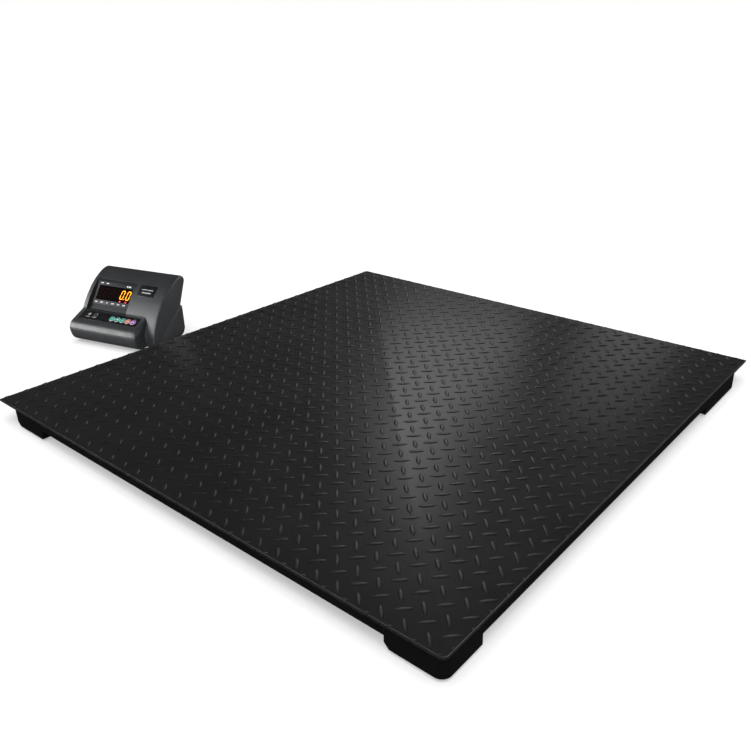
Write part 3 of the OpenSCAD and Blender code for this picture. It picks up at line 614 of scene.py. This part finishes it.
def make_foot(corner):
    """A slotted, threaded stem with a ball end, and the pad that the ball sits in."""
    low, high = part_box(f"{corner}_foot_stem")
    at = Matrix.Translation(((low.x + high.x) / 2, (low.y + high.y) / 2, FLOOR_Z)) @ Matrix.Scale(MM, 4)
    ball_z = (low.z - FLOOR_Z) / MM + BALL_R
    top = (high.z - FLOOR_Z) / MM
    neck_angle = math.degrees(math.acos(NECK_R / BALL_R))
    profile = [(0, ball_z - BALL_R), *arc(BALL_R, ball_z, -80, neck_angle), (NECK_R, NECK_TOP),
               (STEM_R - 0.9, NECK_TOP)]
    z = THREAD_START
    while z < top - THREAD_PITCH - 0.6:
        profile += [(STEM_R - THREAD_DEPTH, z), (STEM_R - 0.05, z + 0.62), (STEM_R - 0.05, z + 0.85)]
        profile.append((STEM_R - THREAD_DEPTH, z + 1.5))
        z += THREAD_PITCH
    profile += [(STEM_R - THREAD_DEPTH, z), *rounded(STEM_R - 0.4, top, 0.5), (0, top)]
    slot = block(-STEM_R - 1, STEM_R + 1, -0.8, 0.8, top - 2, top + 1)
    stem = moved(boolean(lathe(profile, 36), ("DIFFERENCE", slot)), at)
    piece(f"{corner}_stem", stem, "bolt_zinc", f"{corner}_foot", [f"{corner}_foot_stem"])
    pad_low, pad_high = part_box(f"{corner}_foot_pad")
    pad_r, pad_h = (pad_high.x - pad_low.x) / 2 / MM, (pad_high.z - pad_low.z) / MM
    under = [(0, 0)]
    for r in GROOVE_RADII:
        under += [(r, 0), (r + 0.4, 0.9), (r + 1.4, 0.9), (r + 1.8, 0)]
    socket_r = BALL_R + SOCKET_GAP
    mouth = math.degrees(math.asin((pad_h - ball_z) / socket_r))
    profile = [*under, *rounded(pad_r, 0, -0.8)[::-1], *rounded(pad_r, 3.1, 0.7), (11.5, 6.1), (9.8, 6.7),
               *rounded(9, pad_h, 0.5), *arc(socket_r, ball_z, mouth, -80), (0, ball_z - socket_r)]
    pad = moved(lathe(profile, 56), at)
    piece(f"{corner}_pad_rubber", pad, "pad_rubber", f"{corner}_pad",
          [f"{corner}_foot_pad"])


for corner in ("front", "right", "rear", "left"):
    make_foot(corner)


# ------------------------ indicator
def indicator_frame():
    return (Matrix.Translation((IND_X, IND_Y, FLOOR_Z)) @ Matrix.Rotation(IND_TURN, 4, "Z")
            @ Matrix.Translation((0, -CASE_D / 2 * MM, 0)) @ Matrix.Diagonal((MM, MM, MM, 1)))


CASE = indicator_frame()


def slope_frame(foot, head):
    """X along the face, Y up its slope and Z out of it, in the case's millimetres."""
    angle = math.atan2(head[1] - foot[1], head[0] - foot[0])
    return CASE @ Matrix.Translation((0, foot[0], foot[1])) @ Matrix.Rotation(angle, 4, "X")


POCKET = slope_frame(POCKET_FOOT, POCKET_HEAD)
LEDGE = slope_frame(LEDGE_FOOT, LEDGE_REAR)
# a side outline lies in the case's Y and Z, and its prism runs along X
SIDE = Matrix(((0, 0, 1, 0), (1, 0, 0, 0), (0, 1, 0, 0), (0, 0, 0, 1)))


def run(pts, steps=6):
    """A smooth curve through the points, with straight-ended tangents."""
    out = []
    for i in range(len(pts) - 1):
        p0, p1, p2, p3 = (Vector(pts[max(i - 1, 0)]), Vector(pts[i]), Vector(pts[i + 1]),
                          Vector(pts[min(i + 2, len(pts) - 1)]))
        for k in range(steps):
            t = k / steps
            out.append(tuple(0.5 * (2 * p1 + (p2 - p0) * t + (2 * p0 - 5 * p1 + 4 * p2 - p3) * t * t
                                    + (3 * p1 - p0 - 3 * p2 + p3) * t ** 3)))
    out.append(tuple(pts[-1]))
    return out


def front_curve():
    """The case's front and roof, from the foot up, in its Y and Z."""
    return run([(38, 10), (38, 40), (46, 60), (60, 84), (76, 106), (92, 124), (108, 139), (126, 152),
                (144, 162), (160, 168), (172, 169)], 5)


def case_outline():
    front = front_curve() + run([(172, 169), (180, 164), (184, 154)], 4)[1:]
    rear = run([(162, 24), (156, 13), (146, 6), (136, 4)], 4)
    return front + [(156, 92), (162, 86)] + rear + [(46, 4)]


def nose_outline():
    front = run([(22, 4), (12, 9), (5, 18), (1, 30), (0, 42), (3, 50), (8, 57), LEDGE_FOOT], 4)
    return [(60, 4), *front, LEDGE_REAR]


def case_body():
    body = moved(soft_prism(case_outline(), -CASE_X, CASE_X, r0=4, r1=4, steps=6, spans=26), SIDE)
    nose = moved(soft_prism(nose_outline(), -CASE_X + 0.01, NOSE_X1, r0=4, r1=8, steps=7, spans=22), SIDE)
    return boolean(body, ("UNION", nose))


def side_block(pts, x0, x1):
    return moved(soft_prism(pts, x0, x1), SIDE)


def on(slope, bm):
    """A tool built on a sloping face, brought to the case's own millimetres."""
    return moved(bm, CASE.inverted() @ slope)


SEAM = [(-20, 42), (41, 42), (41, 14), (156, 92), (240, 92)]
SEAM_GAP = 0.9
PAST_SIDE = CASE_X + 5                  # cutting tools reach past the case's sides


def key_place(index):
    """The middle of a key on the ledge."""
    return KEY_X0 + index * KEY_PITCH, OVERLAY_AT + OVERLAY_L / 2


def key_holes(z0, z1):
    return [placed(soft_prism(circle(KEY_R + 0.2), z0, z1), *key_place(i)) for i in range(5)]


BATTERY_ROOM = (-56, 56, 68, 140, 6.9, 58)


def case_hollows():
    """The room inside the case for the battery and for the keys' stems."""
    battery_room = block(*BATTERY_ROOM)
    key_room = on(LEDGE, block(KEY_X0 - 14, KEY_X0 + 4 * KEY_PITCH + 14, 7, 40, -16, -2.4))
    return [("DIFFERENCE", battery_room), ("DIFFERENCE", key_room)]


def make_upper_shell():
    seam = [(y, z + SEAM_GAP) for y, z in SEAM]
    above = side_block(seam + [(240, 240), (-20, 240)], -PAST_SIDE, PAST_SIDE)
    pocket = side_block([POCKET_FOOT, POCKET_HEAD, (100, 175), (20, 110), (52, 79)], POCKET_X0, POCKET_X1)
    keys = [("DIFFERENCE", on(LEDGE, hole)) for hole in key_holes(-5, 4)]
    bm = boolean(case_body(), ("INTERSECT", above), ("DIFFERENCE", pocket), *keys, *case_hollows(),
                 bevel=0.7)
    # the recess floor gets a darker colour than the shell: painted shade for the recess
    foot, head = Vector(POCKET_FOOT), Vector(POCKET_HEAD)
    along = (head - foot).normalized()
    for f in bm.faces:
        c = f.calc_center_median()
        off = Vector((c.y, c.z)) - foot
        if (POCKET_X0 < c.x < POCKET_X1 and abs(off.x * along.y - off.y * along.x) < 0.6
                and -1 < off.dot(along) < (head - foot).length + 1):
            f.material_index = 1
    return piece("upper_case", moved(bm, CASE), ["case_upper", "case_pocket_shade"], "indicator",
                 ["upper_shell"])


def make_lower_shell():
    below = side_block(SEAM + [(240, -20), (-20, -20)], -PAST_SIDE, PAST_SIDE)
    hatch = block(-HATCH_W / 2, HATCH_W / 2, HATCH_Y - HATCH_L / 2, HATCH_Y + HATCH_L / 2, 0, 9)
    cuts = [("DIFFERENCE", block(x - w / 2, x + w / 2, 148, 170, SOCKET_Z - 6.5, SOCKET_Z + 6.5))
            for x, w, _, _ in SOCKETS]
    cuts.append(("DIFFERENCE", block(SWITCH_X - 10, SWITCH_X + 10, 148, 170, SWITCH_Z - 14, SWITCH_Z + 14)))
    bm = boolean(case_body(), ("INTERSECT", below), ("DIFFERENCE", hatch), *case_hollows(), *cuts,
                 bevel=0.5)
    return piece("lower_case", moved(bm, CASE), "case_lower", "indicator", ["lower_shell"])


make_upper_shell()
make_lower_shell()


def plate(name, slope, cx, cy, w, l, r, z0, z1, mat, replaces, edge=0.3, holes=()):
    """A flat part with round corners and softened top edges, on a sloping face."""
    bm = placed(soft_prism(rounded_rect(w, l, r), z0, z1, r1=edge, steps=3), cx, cy)
    if holes:
        bm = boolean(bm, *[("DIFFERENCE", h) for h in holes])
    return piece(name, moved(bm, slope), mat, "indicator", replaces)


# display frame, window and its digits
opening = block(BEZEL_X - WINDOW_W / 2, BEZEL_X + WINDOW_W / 2, WINDOW_AT - WINDOW_L / 2,
                WINDOW_AT + WINDOW_L / 2, -1, 4)
plate("bezel", POCKET, BEZEL_X, BEZEL_AT + BEZEL_L / 2, BEZEL_W, BEZEL_L, 3, 0.02, 1.3, "bezel_grey",
      ["display_bezel"], edge=0.6, holes=[opening])
plate("window", POCKET, BEZEL_X, WINDOW_AT, WINDOW_W - 0.2, WINDOW_L - 0.2, 0.6, -1.2, 0.9, "window_red",
      ["display_window"], edge=0.2)

DIGIT_TOP = 0.9
DIGIT_FOOT = DIGIT_TOP - 0.3
DIGIT_BAR_W = 2.6
DIGIT_LEAN = math.tan(math.radians(9))
LIT_DIGITS = (4, 5)


def digit_middle(index):
    return BEZEL_X + (index - 2.5) * DIGIT_PITCH


def segment_outlines(grow):
    """The seven bars of a digit, as hexagons, keyed a-g. grow widens each bar."""
    w, l, t = DIGIT_W / 2, DIGIT_L / 2, DIGIT_BAR_W / 2 + grow
    gap = 0.35 - grow

    def bar(x0, y0, x1, y1):
        a, b = Vector((x0, y0)), Vector((x1, y1))
        u = (b - a).normalized()
        n = Vector((-u.y, u.x)) * t
        a, b = a + u * gap, b - u * gap
        return [a, a + u * t - n, b - u * t - n, b, b - u * t + n, a + u * t + n]

    return {
        "a": bar(-w, l, w, l), "b": bar(w, 0, w, l), "c": bar(w, -l, w, 0), "d": bar(-w, -l, w, -l),
        "e": bar(-w, -l, -w, 0), "f": bar(-w, 0, -w, l), "g": bar(-w, 0, w, 0),
    }


def slanted(pts, cx, cy):
    return [(cx + p[0] + DIGIT_LEAN * p[1], cy + p[1]) for p in pts]


def digit_bars(index, keys, grow, rise):
    """The named bars of one digit, from inside the window up to rise above it."""
    cx, cy = digit_middle(index) - 1, WINDOW_AT + 1
    bars = segment_outlines(grow)
    return [soft_prism(slanted(bars[k], cx, cy), DIGIT_FOOT, DIGIT_TOP + rise) for k in keys]


def make_digits():
    # a smaller dark bar in each unlit one leaves only its outline showing
    off, inner = [], []
    for i in range(6):
        keys = "g" if i in LIT_DIGITS else "abcdefg"
        off += digit_bars(i, keys, 0, 0.03)
        inner += digit_bars(i, keys, -0.55, 0.05)
    divider = slanted([(-0.3, -17), (0.3, -17), (0.3, 17), (-0.3, 17)], BEZEL_X - 1, WINDOW_AT + 1)
    off.append(soft_prism(divider, DIGIT_FOOT, DIGIT_TOP + 0.03))
    # the unlit segments carry a faint painted glow
    piece("digits_off", moved(joined(*off), POCKET), "led_off", "indicator", ["digit_modules"])
    piece("digits_off_cores", moved(joined(*inner), POCKET), "window_red", "indicator")
    for name, grow, rise in (("fringe", 0.7, 0.06), ("mid", 0.2, 0.09), ("core", -0.4, 0.12)):
        lit = [bar for i in LIT_DIGITS for bar in digit_bars(i, "abcdef", grow, rise)]
        dot = soft_prism(circle(1.25 + grow * 0.7, 20), DIGIT_FOOT, DIGIT_TOP + rise)
        lit.append(placed(dot, digit_middle(4) + DIGIT_W / 2 + 1.0, WINDOW_AT + 1 - DIGIT_L / 2))
        piece(f"digits_lit_{name}", moved(joined(*lit), POCKET), f"led_{name}", "indicator")


make_digits()

# two small lamps under the lit digits
for i in LIT_DIGITS:
    bm = placed(soft_prism(circle(2.2, 24, 0.8), DIGIT_FOOT, DIGIT_TOP + 0.25, r1=0.2, steps=2),
                digit_middle(i) - 3.5, WINDOW_AT - WINDOW_L / 2 + 2.9)
    piece(f"lamp_{i}", moved(bm, POCKET), "lamp_on", "indicator")


def flat_bar(x, y, w, h, r, z0, z1):
    return placed(soft_prism(rounded_rect(w, h, r, 3), z0, z1), x, y)


def label_bars(name, slope, places, z, mat="print_white"):
    """Blank bars in place of printed words: places are (x, y, width, height)."""
    bars = [flat_bar(x, y, w, h, min(w, h) * 0.3, z - 0.05, z + 0.06) for x, y, w, h in places]
    return piece(name, moved(joined(*bars), slope), mat, "indicator")


WORD_H = 3.6


def word(x, y, w):
    """A blank word: two short bars, one over the other, and a longer one beside them."""
    short = [(x - w * 0.27, y + side * WORD_H * 0.25, w * 0.42, WORD_H * 0.32) for side in (1, -1)]
    return [*short, (x + w * 0.25, y, w * 0.4, WORD_H * 0.8)]


BEZEL_TOP_ROW = BEZEL_AT + BEZEL_L - 6
BEZEL_FOOT_ROW = BEZEL_AT + 6.2
display_words = word(-96, BEZEL_TOP_ROW, 9) + word(-77, BEZEL_TOP_ROW, 9)
display_words += word(-2, BEZEL_TOP_ROW - 1.5, 16)
for i in range(6):
    display_words += word(-97 + i * 19.5, BEZEL_FOOT_ROW, 9 if i != 2 else 4)
label_bars("display_labels", POCKET, display_words, 1.3)

# keypad film with its five keys
plate("keypad_film", LEDGE, (OVERLAY_X0 + OVERLAY_X1) / 2, OVERLAY_AT + OVERLAY_L / 2,
      OVERLAY_X1 - OVERLAY_X0, OVERLAY_L, 4, 0.01, 0.6, "overlay_black", ["keypad_overlay"], edge=0.25,
      holes=key_holes(-2, 3))

KEY_TOP = 1.2
KEY_COLOURS = ("key_teal", "key_teal", "key_teal", "key_orange", "key_purple")
# a key's blank marks: x, y, width and height of each bar
SHORT_MARK = ((0, 0, 2.2, 4.2),)
LONG_MARK = ((-2.2, 1.0, 3.4, 1.3), (-2.2, -1.3, 3.4, 1.3), (2.2, 0, 3.2, 3.6))
for i, colour in enumerate(KEY_COLOURS):
    at = LEDGE @ Matrix.Translation((*key_place(i), 0))
    body = f"key_{i + 1}"
    cap = soft_prism(circle(KEY_R, 64), -2.4, KEY_TOP, r1=0.7, steps=4)
    stem = soft_prism(circle(2.5, 24), -7, -2.3)
    piece(f"key_cap_{i + 1}", moved(joined(cap, stem), at), "key_rim", body, [body])
    face = soft_prism(circle(KEY_R - 1.0, 64), KEY_TOP - 0.2, KEY_TOP + 0.05, r1=0.04, steps=1, crown=0.22)
    piece(f"key_face_{i + 1}", moved(face, at), colour, body)
    mark = SHORT_MARK if i in (0, 2) else LONG_MARK
    bars = [flat_bar(*bar, 0.4, KEY_TOP, KEY_TOP + 0.26) for bar in mark]
    piece(f"key_mark_{i + 1}", moved(joined(*bars), at), "print_white", body)

# plain marks at the keypad's left: a diamond and a ring, each with a blank bar under it
DIAMOND_X, RING_X, MARK_Y = -88, -66, OVERLAY_AT + OVERLAY_L / 2 + 4
diamond = placed(soft_prism([(0, -5), (5.5, 0), (0, 5), (-5.5, 0)], 0.55, 0.66), DIAMOND_X, MARK_Y)
ring = boolean(soft_prism(circle(5.6, 40), 0.6 - 0.05, 0.6 + 0.06),
               ("DIFFERENCE", soft_prism(circle(5.6 - 1.0, 40), 0.6 - 0.2, 0.6 + 0.3)))
piece("film_marks", moved(joined(diamond, placed(ring, RING_X, MARK_Y)), LEDGE), "print_grey",
      "indicator")
label_bars("film_labels", LEDGE, [(x, MARK_Y - 9.5, 15, 1.8) for x in (DIAMOND_X, RING_X)], 0.6,
           "print_grey")


def wrapped(bm, outline, foot, up):
    """Bends a flat mesh, drawn in X and the distance from foot along up, onto a curved outline."""
    cuts = 12
    curve = [Vector(p) for p in outline]
    at = [(p - foot).dot(up) for p in curve]
    low, high = min(v.co.y for v in bm.verts), max(v.co.y for v in bm.verts)
    for k in range(1, cuts):
        bmesh.ops.bisect_plane(bm, geom=bm.verts[:] + bm.edges[:] + bm.faces[:],
                               plane_co=(0, low + (high - low) * k / cuts, 0), plane_no=(0, 1, 0))
    for v in bm.verts:
        i = max(k for k in range(len(at) - 1) if at[k] <= v.co.y)
        t = (v.co.y - at[i]) / (at[i + 1] - at[i])
        point = curve[i].lerp(curve[i + 1], t)
        before, after = curve[i] - curve[max(i - 1, 0)], curve[min(i + 2, len(curve) - 1)] - curve[i + 1]
        run_up = before.normalized().lerp(after.normalized(), t).normalized()
        v.co = (v.co.x, point.x - run_up.y * v.co.z, point.y + run_up.x * v.co.z)
    return bm


def on_front(bm):
    """Puts a flat mesh, drawn in X and the recess's slope coordinate, on the curved front."""
    foot = Vector(POCKET_FOOT)
    return moved(wrapped(bm, front_curve(), foot, (Vector(POCKET_HEAD) - foot).normalized()), CASE)


# name panel, left blank but for two thin rules; it follows the curve of the front
panel_x, panel_y = sum(PANEL_X) / 2, sum(PANEL_Y) / 2
panel = placed(soft_prism(rounded_rect(PANEL_X[1] - PANEL_X[0], PANEL_Y[1] - PANEL_Y[0], 2.5), -0.4, 0.5,
                          r1=0.25, steps=2), panel_x, panel_y)
piece("name_panel", on_front(panel), "plate_black", "indicator", ["nameplate"])
for name, rise, w, h in (("panel_rule_1", 4, 38, 2.2), ("panel_rule_2", -5, 30, 3.0)):
    rule = flat_bar(panel_x, panel_y + rise, w, h, 0.6, 0.4, 0.56)
    piece(name, on_front(rule), "print_grey", "indicator")


# ------------------------ back and base of the indicator
# the back wall's own frame: X across, Y up and Z outwards
BACK = CASE @ Matrix(((1, 0, 0, 0), (0, 0, 1, BACK_Y), (0, 1, 0, 0), (0, 0, 0, 1)))


def shell_outline(w, h, lean, r, steps=5):
    """A rounded outline that is narrower at its foot, as round the pins of a lead socket."""
    corners = [Vector((w / 2, h / 2)), Vector((-w / 2, h / 2)), Vector((-w / 2 + lean, -h / 2)),
               Vector((w / 2 - lean, -h / 2))]
    pts = []
    for i, c in enumerate(corners):
        a, b = (corners[i - 1] - c).normalized(), (corners[(i + 1) % 4] - c).normalized()
        for k in range(steps + 1):
            t = k / steps
            pts.append(tuple(c + a * r * (1 - t) ** 2 + b * r * t ** 2))
    return pts


PIN_PITCH, PIN_ROW = 2.76, 1.42         # along a row, and each row's height from the middle
SHELL_H, SHELL_MARGIN = 8.9, 4.1


def make_socket(index, x, flange_w, top_pins, foot_pins):
    """A metal shell round a dark insulator with two rows of pins, and a hex post at each end."""
    shell_w, shell_h = flange_w - 2 * SHELL_MARGIN, SHELL_H
    flange = soft_prism(rounded_rect(flange_w - 0.4, 12.4, 1.2), -1.5, 1.0, r1=0.4, steps=3)
    shell = soft_prism(shell_outline(shell_w, shell_h, 1.2, 2.2), 0.5, 4.9, r1=0.25, steps=2)
    bore = soft_prism(shell_outline(shell_w - 1.1, shell_h - 1.1, 1.2, 1.8), -0.2, 6)
    metal = [boolean(flange, ("UNION", shell), ("DIFFERENCE", bore))]
    for side in (-1, 1):
        post = soft_prism(circle(2.2, 6), 0.9, 3.6, r1=0.3, steps=2)
        hole = soft_prism(circle(1.1, 20), 1.6, 5)
        metal.append(placed(boolean(post, ("DIFFERENCE", hole)), side * (flange_w / 2 - 2.6), 0))
    at = BACK @ Matrix.Translation((x, SOCKET_Z, 0))
    piece(f"socket_shell_{index}", moved(joined(*metal), at), "socket_metal", "indicator",
          ["rear_sockets"] if index == 1 else ())
    core = soft_prism(shell_outline(shell_w - 1.3, shell_h - 1.3, 1.2, 1.7), -0.1, 0.9)
    piece(f"socket_core_{index}", moved(core, at), "switch_black", "indicator")
    pins = []
    for row, count in ((PIN_ROW, top_pins), (-PIN_ROW, foot_pins)):
        for k in range(count):
            pin = lathe([(0, 0.6), (0.5, 0.6), *rounded(0.5, 4.0, 0.4), (0, 4.0)], 12)
            pins.append(placed(pin, (k - (count - 1) / 2) * PIN_PITCH, row))
    piece(f"socket_pins_{index}", moved(joined(*pins), at), "pin_gold", "indicator")


for i, socket in enumerate(SOCKETS):
    make_socket(i + 1, *socket)

# rocker switch: its bezelled body, and the rocker with a bar and a ring for on and off
SWITCH = BACK @ Matrix.Translation((SWITCH_X, SWITCH_Z, 0))
body = boolean(soft_prism(rounded_rect(24, 32, 2.4), 0.02, 2.0, r1=0.9, steps=4),
               ("UNION", soft_prism(rounded_rect(19.6, 27.6, 1), -14, 0.5)),
               ("DIFFERENCE", soft_prism(rounded_rect(14, 22, 1.2), -9, 5)), bevel=0.25)
piece("switch_frame", moved(body, SWITCH), "switch_black", "indicator", ["switch_body"])

ROCKER = CASE @ Matrix.Translation((SWITCH_X, BACK_Y - ROCKER_DROP, SWITCH_Z))
rocker_face = run([(4.5, -8.9), (5.0, -5.5), (5.2, -2), (5.4, 1.5), (6.1, 5), (7.1, 8.3)], 4)
rocker_side = [(-3, 0), (-2, -5), (0, -8.5)] + rocker_face + [(6.2, 8.9), (3.4, 9.1), (-2, 5)]
cap = moved(soft_prism(rocker_side, -6.5, 6.5, r0=0.7, r1=0.7, steps=3), SIDE)
pin = moved(soft_prism(circle(1.5, 24), -8.8, 8.8), SIDE)
piece("rocker_cap", moved(joined(cap, pin), ROCKER), "rocker_red", "rocker",
      ["switch_rocker"])
ring = boolean(soft_prism(circle(1.9, 32), -0.15, 0.08),
               ("DIFFERENCE", soft_prism(circle(1.45, 32), -1, 1)))
marks = joined(flat_bar(0, 5, 0.55, 3.4, 0.2, -0.15, 0.08), placed(ring, 0, -4.6))
for v in marks.verts:
    steps = zip(rocker_face, rocker_face[1:])
    (y0, z0), (y1, z1) = next(s for s in steps if s[0][1] <= v.co.y <= s[1][1])
    depth = y0 + (y1 - y0) * (v.co.y - z0) / (z1 - z0)
    v.co = (v.co.x, depth + v.co.z, v.co.y)
piece("rocker_marks", moved(marks, ROCKER), "print_white", "rocker")

# ribbed bush for the mains lead
BUSH_RIBS, BUSH_RIB_PITCH, BUSH_END = 6, 2.05, 17
bush = [(LEAD_R, -7), (6, -7), (6, 0.02), *rounded(8, 0.02, -0.02), *rounded(8, 3, 0.9)]
for k in range(BUSH_RIBS):
    z = 3.9 + k * BUSH_RIB_PITCH
    wide = 6.5 - 2.0 * (z - 3) / 14
    bush += [(wide - 0.9, z - 0.5), (wide - 0.9, z), (wide, z + 0.2), (wide - 0.12, z + 1.35)]
bush += [(4.6, 16.3), *rounded(4.5, BUSH_END, 0.5), (LEAD_R, BUSH_END)]
bush = moved(lathe(bush), BACK @ Matrix.Translation((SWITCH_X, LEAD_Z, 0)))
piece("lead_bush", bush, "gland_black", "indicator", ["power_inlet"])

# rubber feet with a hollow underneath, and the case's screws with their cross recesses
foot_profile = [(0, 1.6), (3.2, 1.6), (3.8, 0.15), *rounded(8, 0, -1.6)[::-1], (7.7, 4.95), (0, 4.95)]
feet = [placed(lathe(foot_profile), *p) for p in FOOT_PLACES]
piece("rubber_feet", moved(joined(*feet), CASE), "foot_rubber", "indicator", ["case_feet"])
SCREW_R, SCREW_FOOT, SCREW_TOP = 2.8, 2.52, 7.5
heads = []
for p in SCREW_PLACES:
    head = lathe([(0, SCREW_FOOT), *rounded(SCREW_R, SCREW_FOOT, -0.7)[::-1], (SCREW_R, SCREW_TOP),
                  (0, SCREW_TOP)], 28)
    cross = [("DIFFERENCE", block(-w, w, -l, l, 2.0, 3.3)) for w, l in ((0.3, 1.6), (1.6, 0.3))]
    heads.append(placed(boolean(head, *cross), *p))
piece("screw_heads", moved(joined(*heads), CASE), "bolt_zinc", "indicator", ["case_screws"])

# battery cover with a thumb catch: a scooped recess and grip ribs beside it
cover = soft_prism(rounded_rect(HATCH_W - 0.8, HATCH_L - 0.8, 1.6), 4.0, 6.9, r0=0.5, steps=3)
scoop = placed(soft_prism(rounded_rect(22, 9, 4), 3.0, 5.2, r1=0.8, steps=3), 0, 17)
grooves = [("DIFFERENCE", block(-11, 11, y - 0.5, y + 0.5, 3.0, 4.5)) for y in (4, 6.2, 8.4, 10.6)]
cover = boolean(cover, ("DIFFERENCE", scoop), *grooves, bevel=0.15)
cover = moved(cover, CASE @ Matrix.Translation((0, HATCH_Y, 0)))
piece("cover_plate", cover, "case_lower", "battery_cover", ["battery_cover"])


# ------------------------ finishes of the carried-over solids
record_slots = {s["node"]: s["material_slot"] for s in frame["record"]["subparts"]}
for name, obj in frame["nodes"].items():
    obj.data.materials.clear()
    obj.data.materials.append(MATS[record_slots[name]])


# ------------------------ floor, light and camera
FLOOR_HALF, FLOOR_DROP = 14.0, 0.5 * MM
WORLD_LIGHT = 0.06                      # what the white backdrop gives to all but the camera


def make_stage():
    bm = bmesh.new()
    bmesh.ops.create_grid(bm, x_segments=8, y_segments=8, size=FLOOR_HALF)
    bm.transform(Matrix.Translation((0, 0, FLOOR_Z - FLOOR_DROP)))
    mesh = bpy.data.meshes.new("floor")
    bm.to_mesh(mesh)
    bm.free()
    floor = in_scene("floor", mesh)
    mat, tree, bsdf = new_material("floor_pale")
    pale = two_tone(tree, noise(tree, 0.6), (0.90, 0.90, 0.90), (0.93, 0.93, 0.93))
    feed(tree, bsdf, Base_Color=pale, Roughness=0.9, Specular_IOR_Level=0.1)
    mesh.materials.append(mat)
    floor.visible_glossy = False


def area_light(name, at, target, size_x, size_y, power):
    data = bpy.data.lights.new(name, "AREA")
    data.shape, data.size, data.size_y, data.energy = "RECTANGLE", size_x, size_y, power
    light = in_scene(name, data)
    light.location = at
    light.visible_camera = False
    light.rotation_euler = (Vector(target) - Vector(at)).to_track_quat("-Z", "Y").to_euler()
    return light


make_stage()
world = bpy.data.worlds.new("studio")
bpy.context.scene.world = world
world.use_nodes = True
tree = world.node_tree
camera_ray = add(tree, "ShaderNodeLightPath").outputs["Is Camera Ray"]
feed(tree, tree.nodes["Background"], Color=(1, 1, 1, 1),
     Strength=spread(tree, camera_ray, WORLD_LIGHT, 1.0, 0.0, 1.0))

case_parts, case_matt, others, deck_only, floor_only = (
    bpy.data.collections.new(n) for n in ("case_parts", "case_matt", "others", "deck_only", "floor_only"))
for obj in bpy.context.scene.objects:
    if obj.type == "MESH":
        in_case = obj.get("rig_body") in CASE_BODIES
        (case_parts if in_case else floor_only if obj.name == "floor" else others).objects.link(obj)
        if in_case and not obj.name.startswith(("window", "digits", "lamp")):
            case_matt.objects.link(obj)
        if obj.name.startswith(("digits_lit", "lamp")):
            obj.visible_glossy = obj.visible_diffuse = False
for obj in deck_top:
    deck_only.objects.link(obj)


SKY_SPREAD, SKY_TILT = math.radians(75), (math.radians(8), math.radians(6), 0)


def sky(name, energy, lit, shadow=True):
    """Light from the whole sky, for one group of objects."""
    data = bpy.data.lights.new(name, "SUN")
    data.energy, data.angle = energy, SKY_SPREAD
    data.use_shadow = shadow
    light = in_scene(name, data)
    light.rotation_euler = SKY_TILT
    light.visible_glossy = False
    light.light_linking.receiver_collection = lit


MIRRORED_CAMERA = (1.02, -1.19, -0.72)  # the camera's place, mirrored in the deck
CASE_MIDDLE = (IND_X, IND_Y, 0.04)
sky("sky", 3.6, others)
sky("floor_sky", 1.5, floor_only)
sky("floor_wash", 2.1, floor_only, shadow=False)
sky("case_sky", 0.7, case_parts)
# tall soft panels behind the platform, mirrored in the satin deck: place, width, height and power
for name, at, width, height, power in (("far_panel_low", (-2.07, 3.36, 1.5), 1.15, 1.3, 3.7),
                                       ("far_panel_high", (-2.36, 3.14, 3.15), 1.25, 2.0, 14),
                                       ("far_panel_right", (-0.85, 4.0, 1.2), 0.7, 1.5, 1.4)):
    area_light(name, at, MIRRORED_CAMERA, width, height, power)
# the same on the other three sides, so that the treads show from there too
for turn in (90, 180, 270):
    at = Matrix.Rotation(math.radians(turn), 3, "Z") @ Vector((-2.36, 3.14, 2.4))
    light = area_light(f"side_panel_{turn}", at, (-at.x * 0.45, -at.y * 0.4, -0.7), 1.6, 2.4, 16)
    light.light_linking.receiver_collection = deck_only
# low soft lights for the indicator alone, from its front
for name, at, width, height, power in (("case_key", (0.70, -2.28, 0.75), 1.0, 0.8, 55),
                                       ("case_fill", (-1.95, -1.78, 0.55), 1.6, 1.2, 50),
                                       ("case_side", (0.15, 1.5, 0.55), 1.2, 0.8, 16)):
    light = area_light(name, at, CASE_MIDDLE, width, height, power)
    light.light_linking.receiver_collection = case_matt

cam = bpy.data.cameras.new("camera")
cam.lens, cam.sensor_width, cam.shift_x = CAM_LENS, 36.0, CAM_SHIFT_X
cam_obj = in_scene("camera", cam)
view_back = Vector((math.sin(CAM_AZIMUTH) * math.cos(CAM_ELEVATION),
                    -math.cos(CAM_AZIMUTH) * math.cos(CAM_ELEVATION), math.sin(CAM_ELEVATION)))
turn = (-view_back).to_track_quat("-Z", "Y").to_matrix().to_4x4()
cam_obj.matrix_world = Matrix.Translation(CAM_AT) @ turn @ Matrix.Rotation(-CAM_ROLL, 4, "Z")
bpy.context.scene.camera = cam_obj
bpy.context.scene.view_settings.view_transform = "Standard"
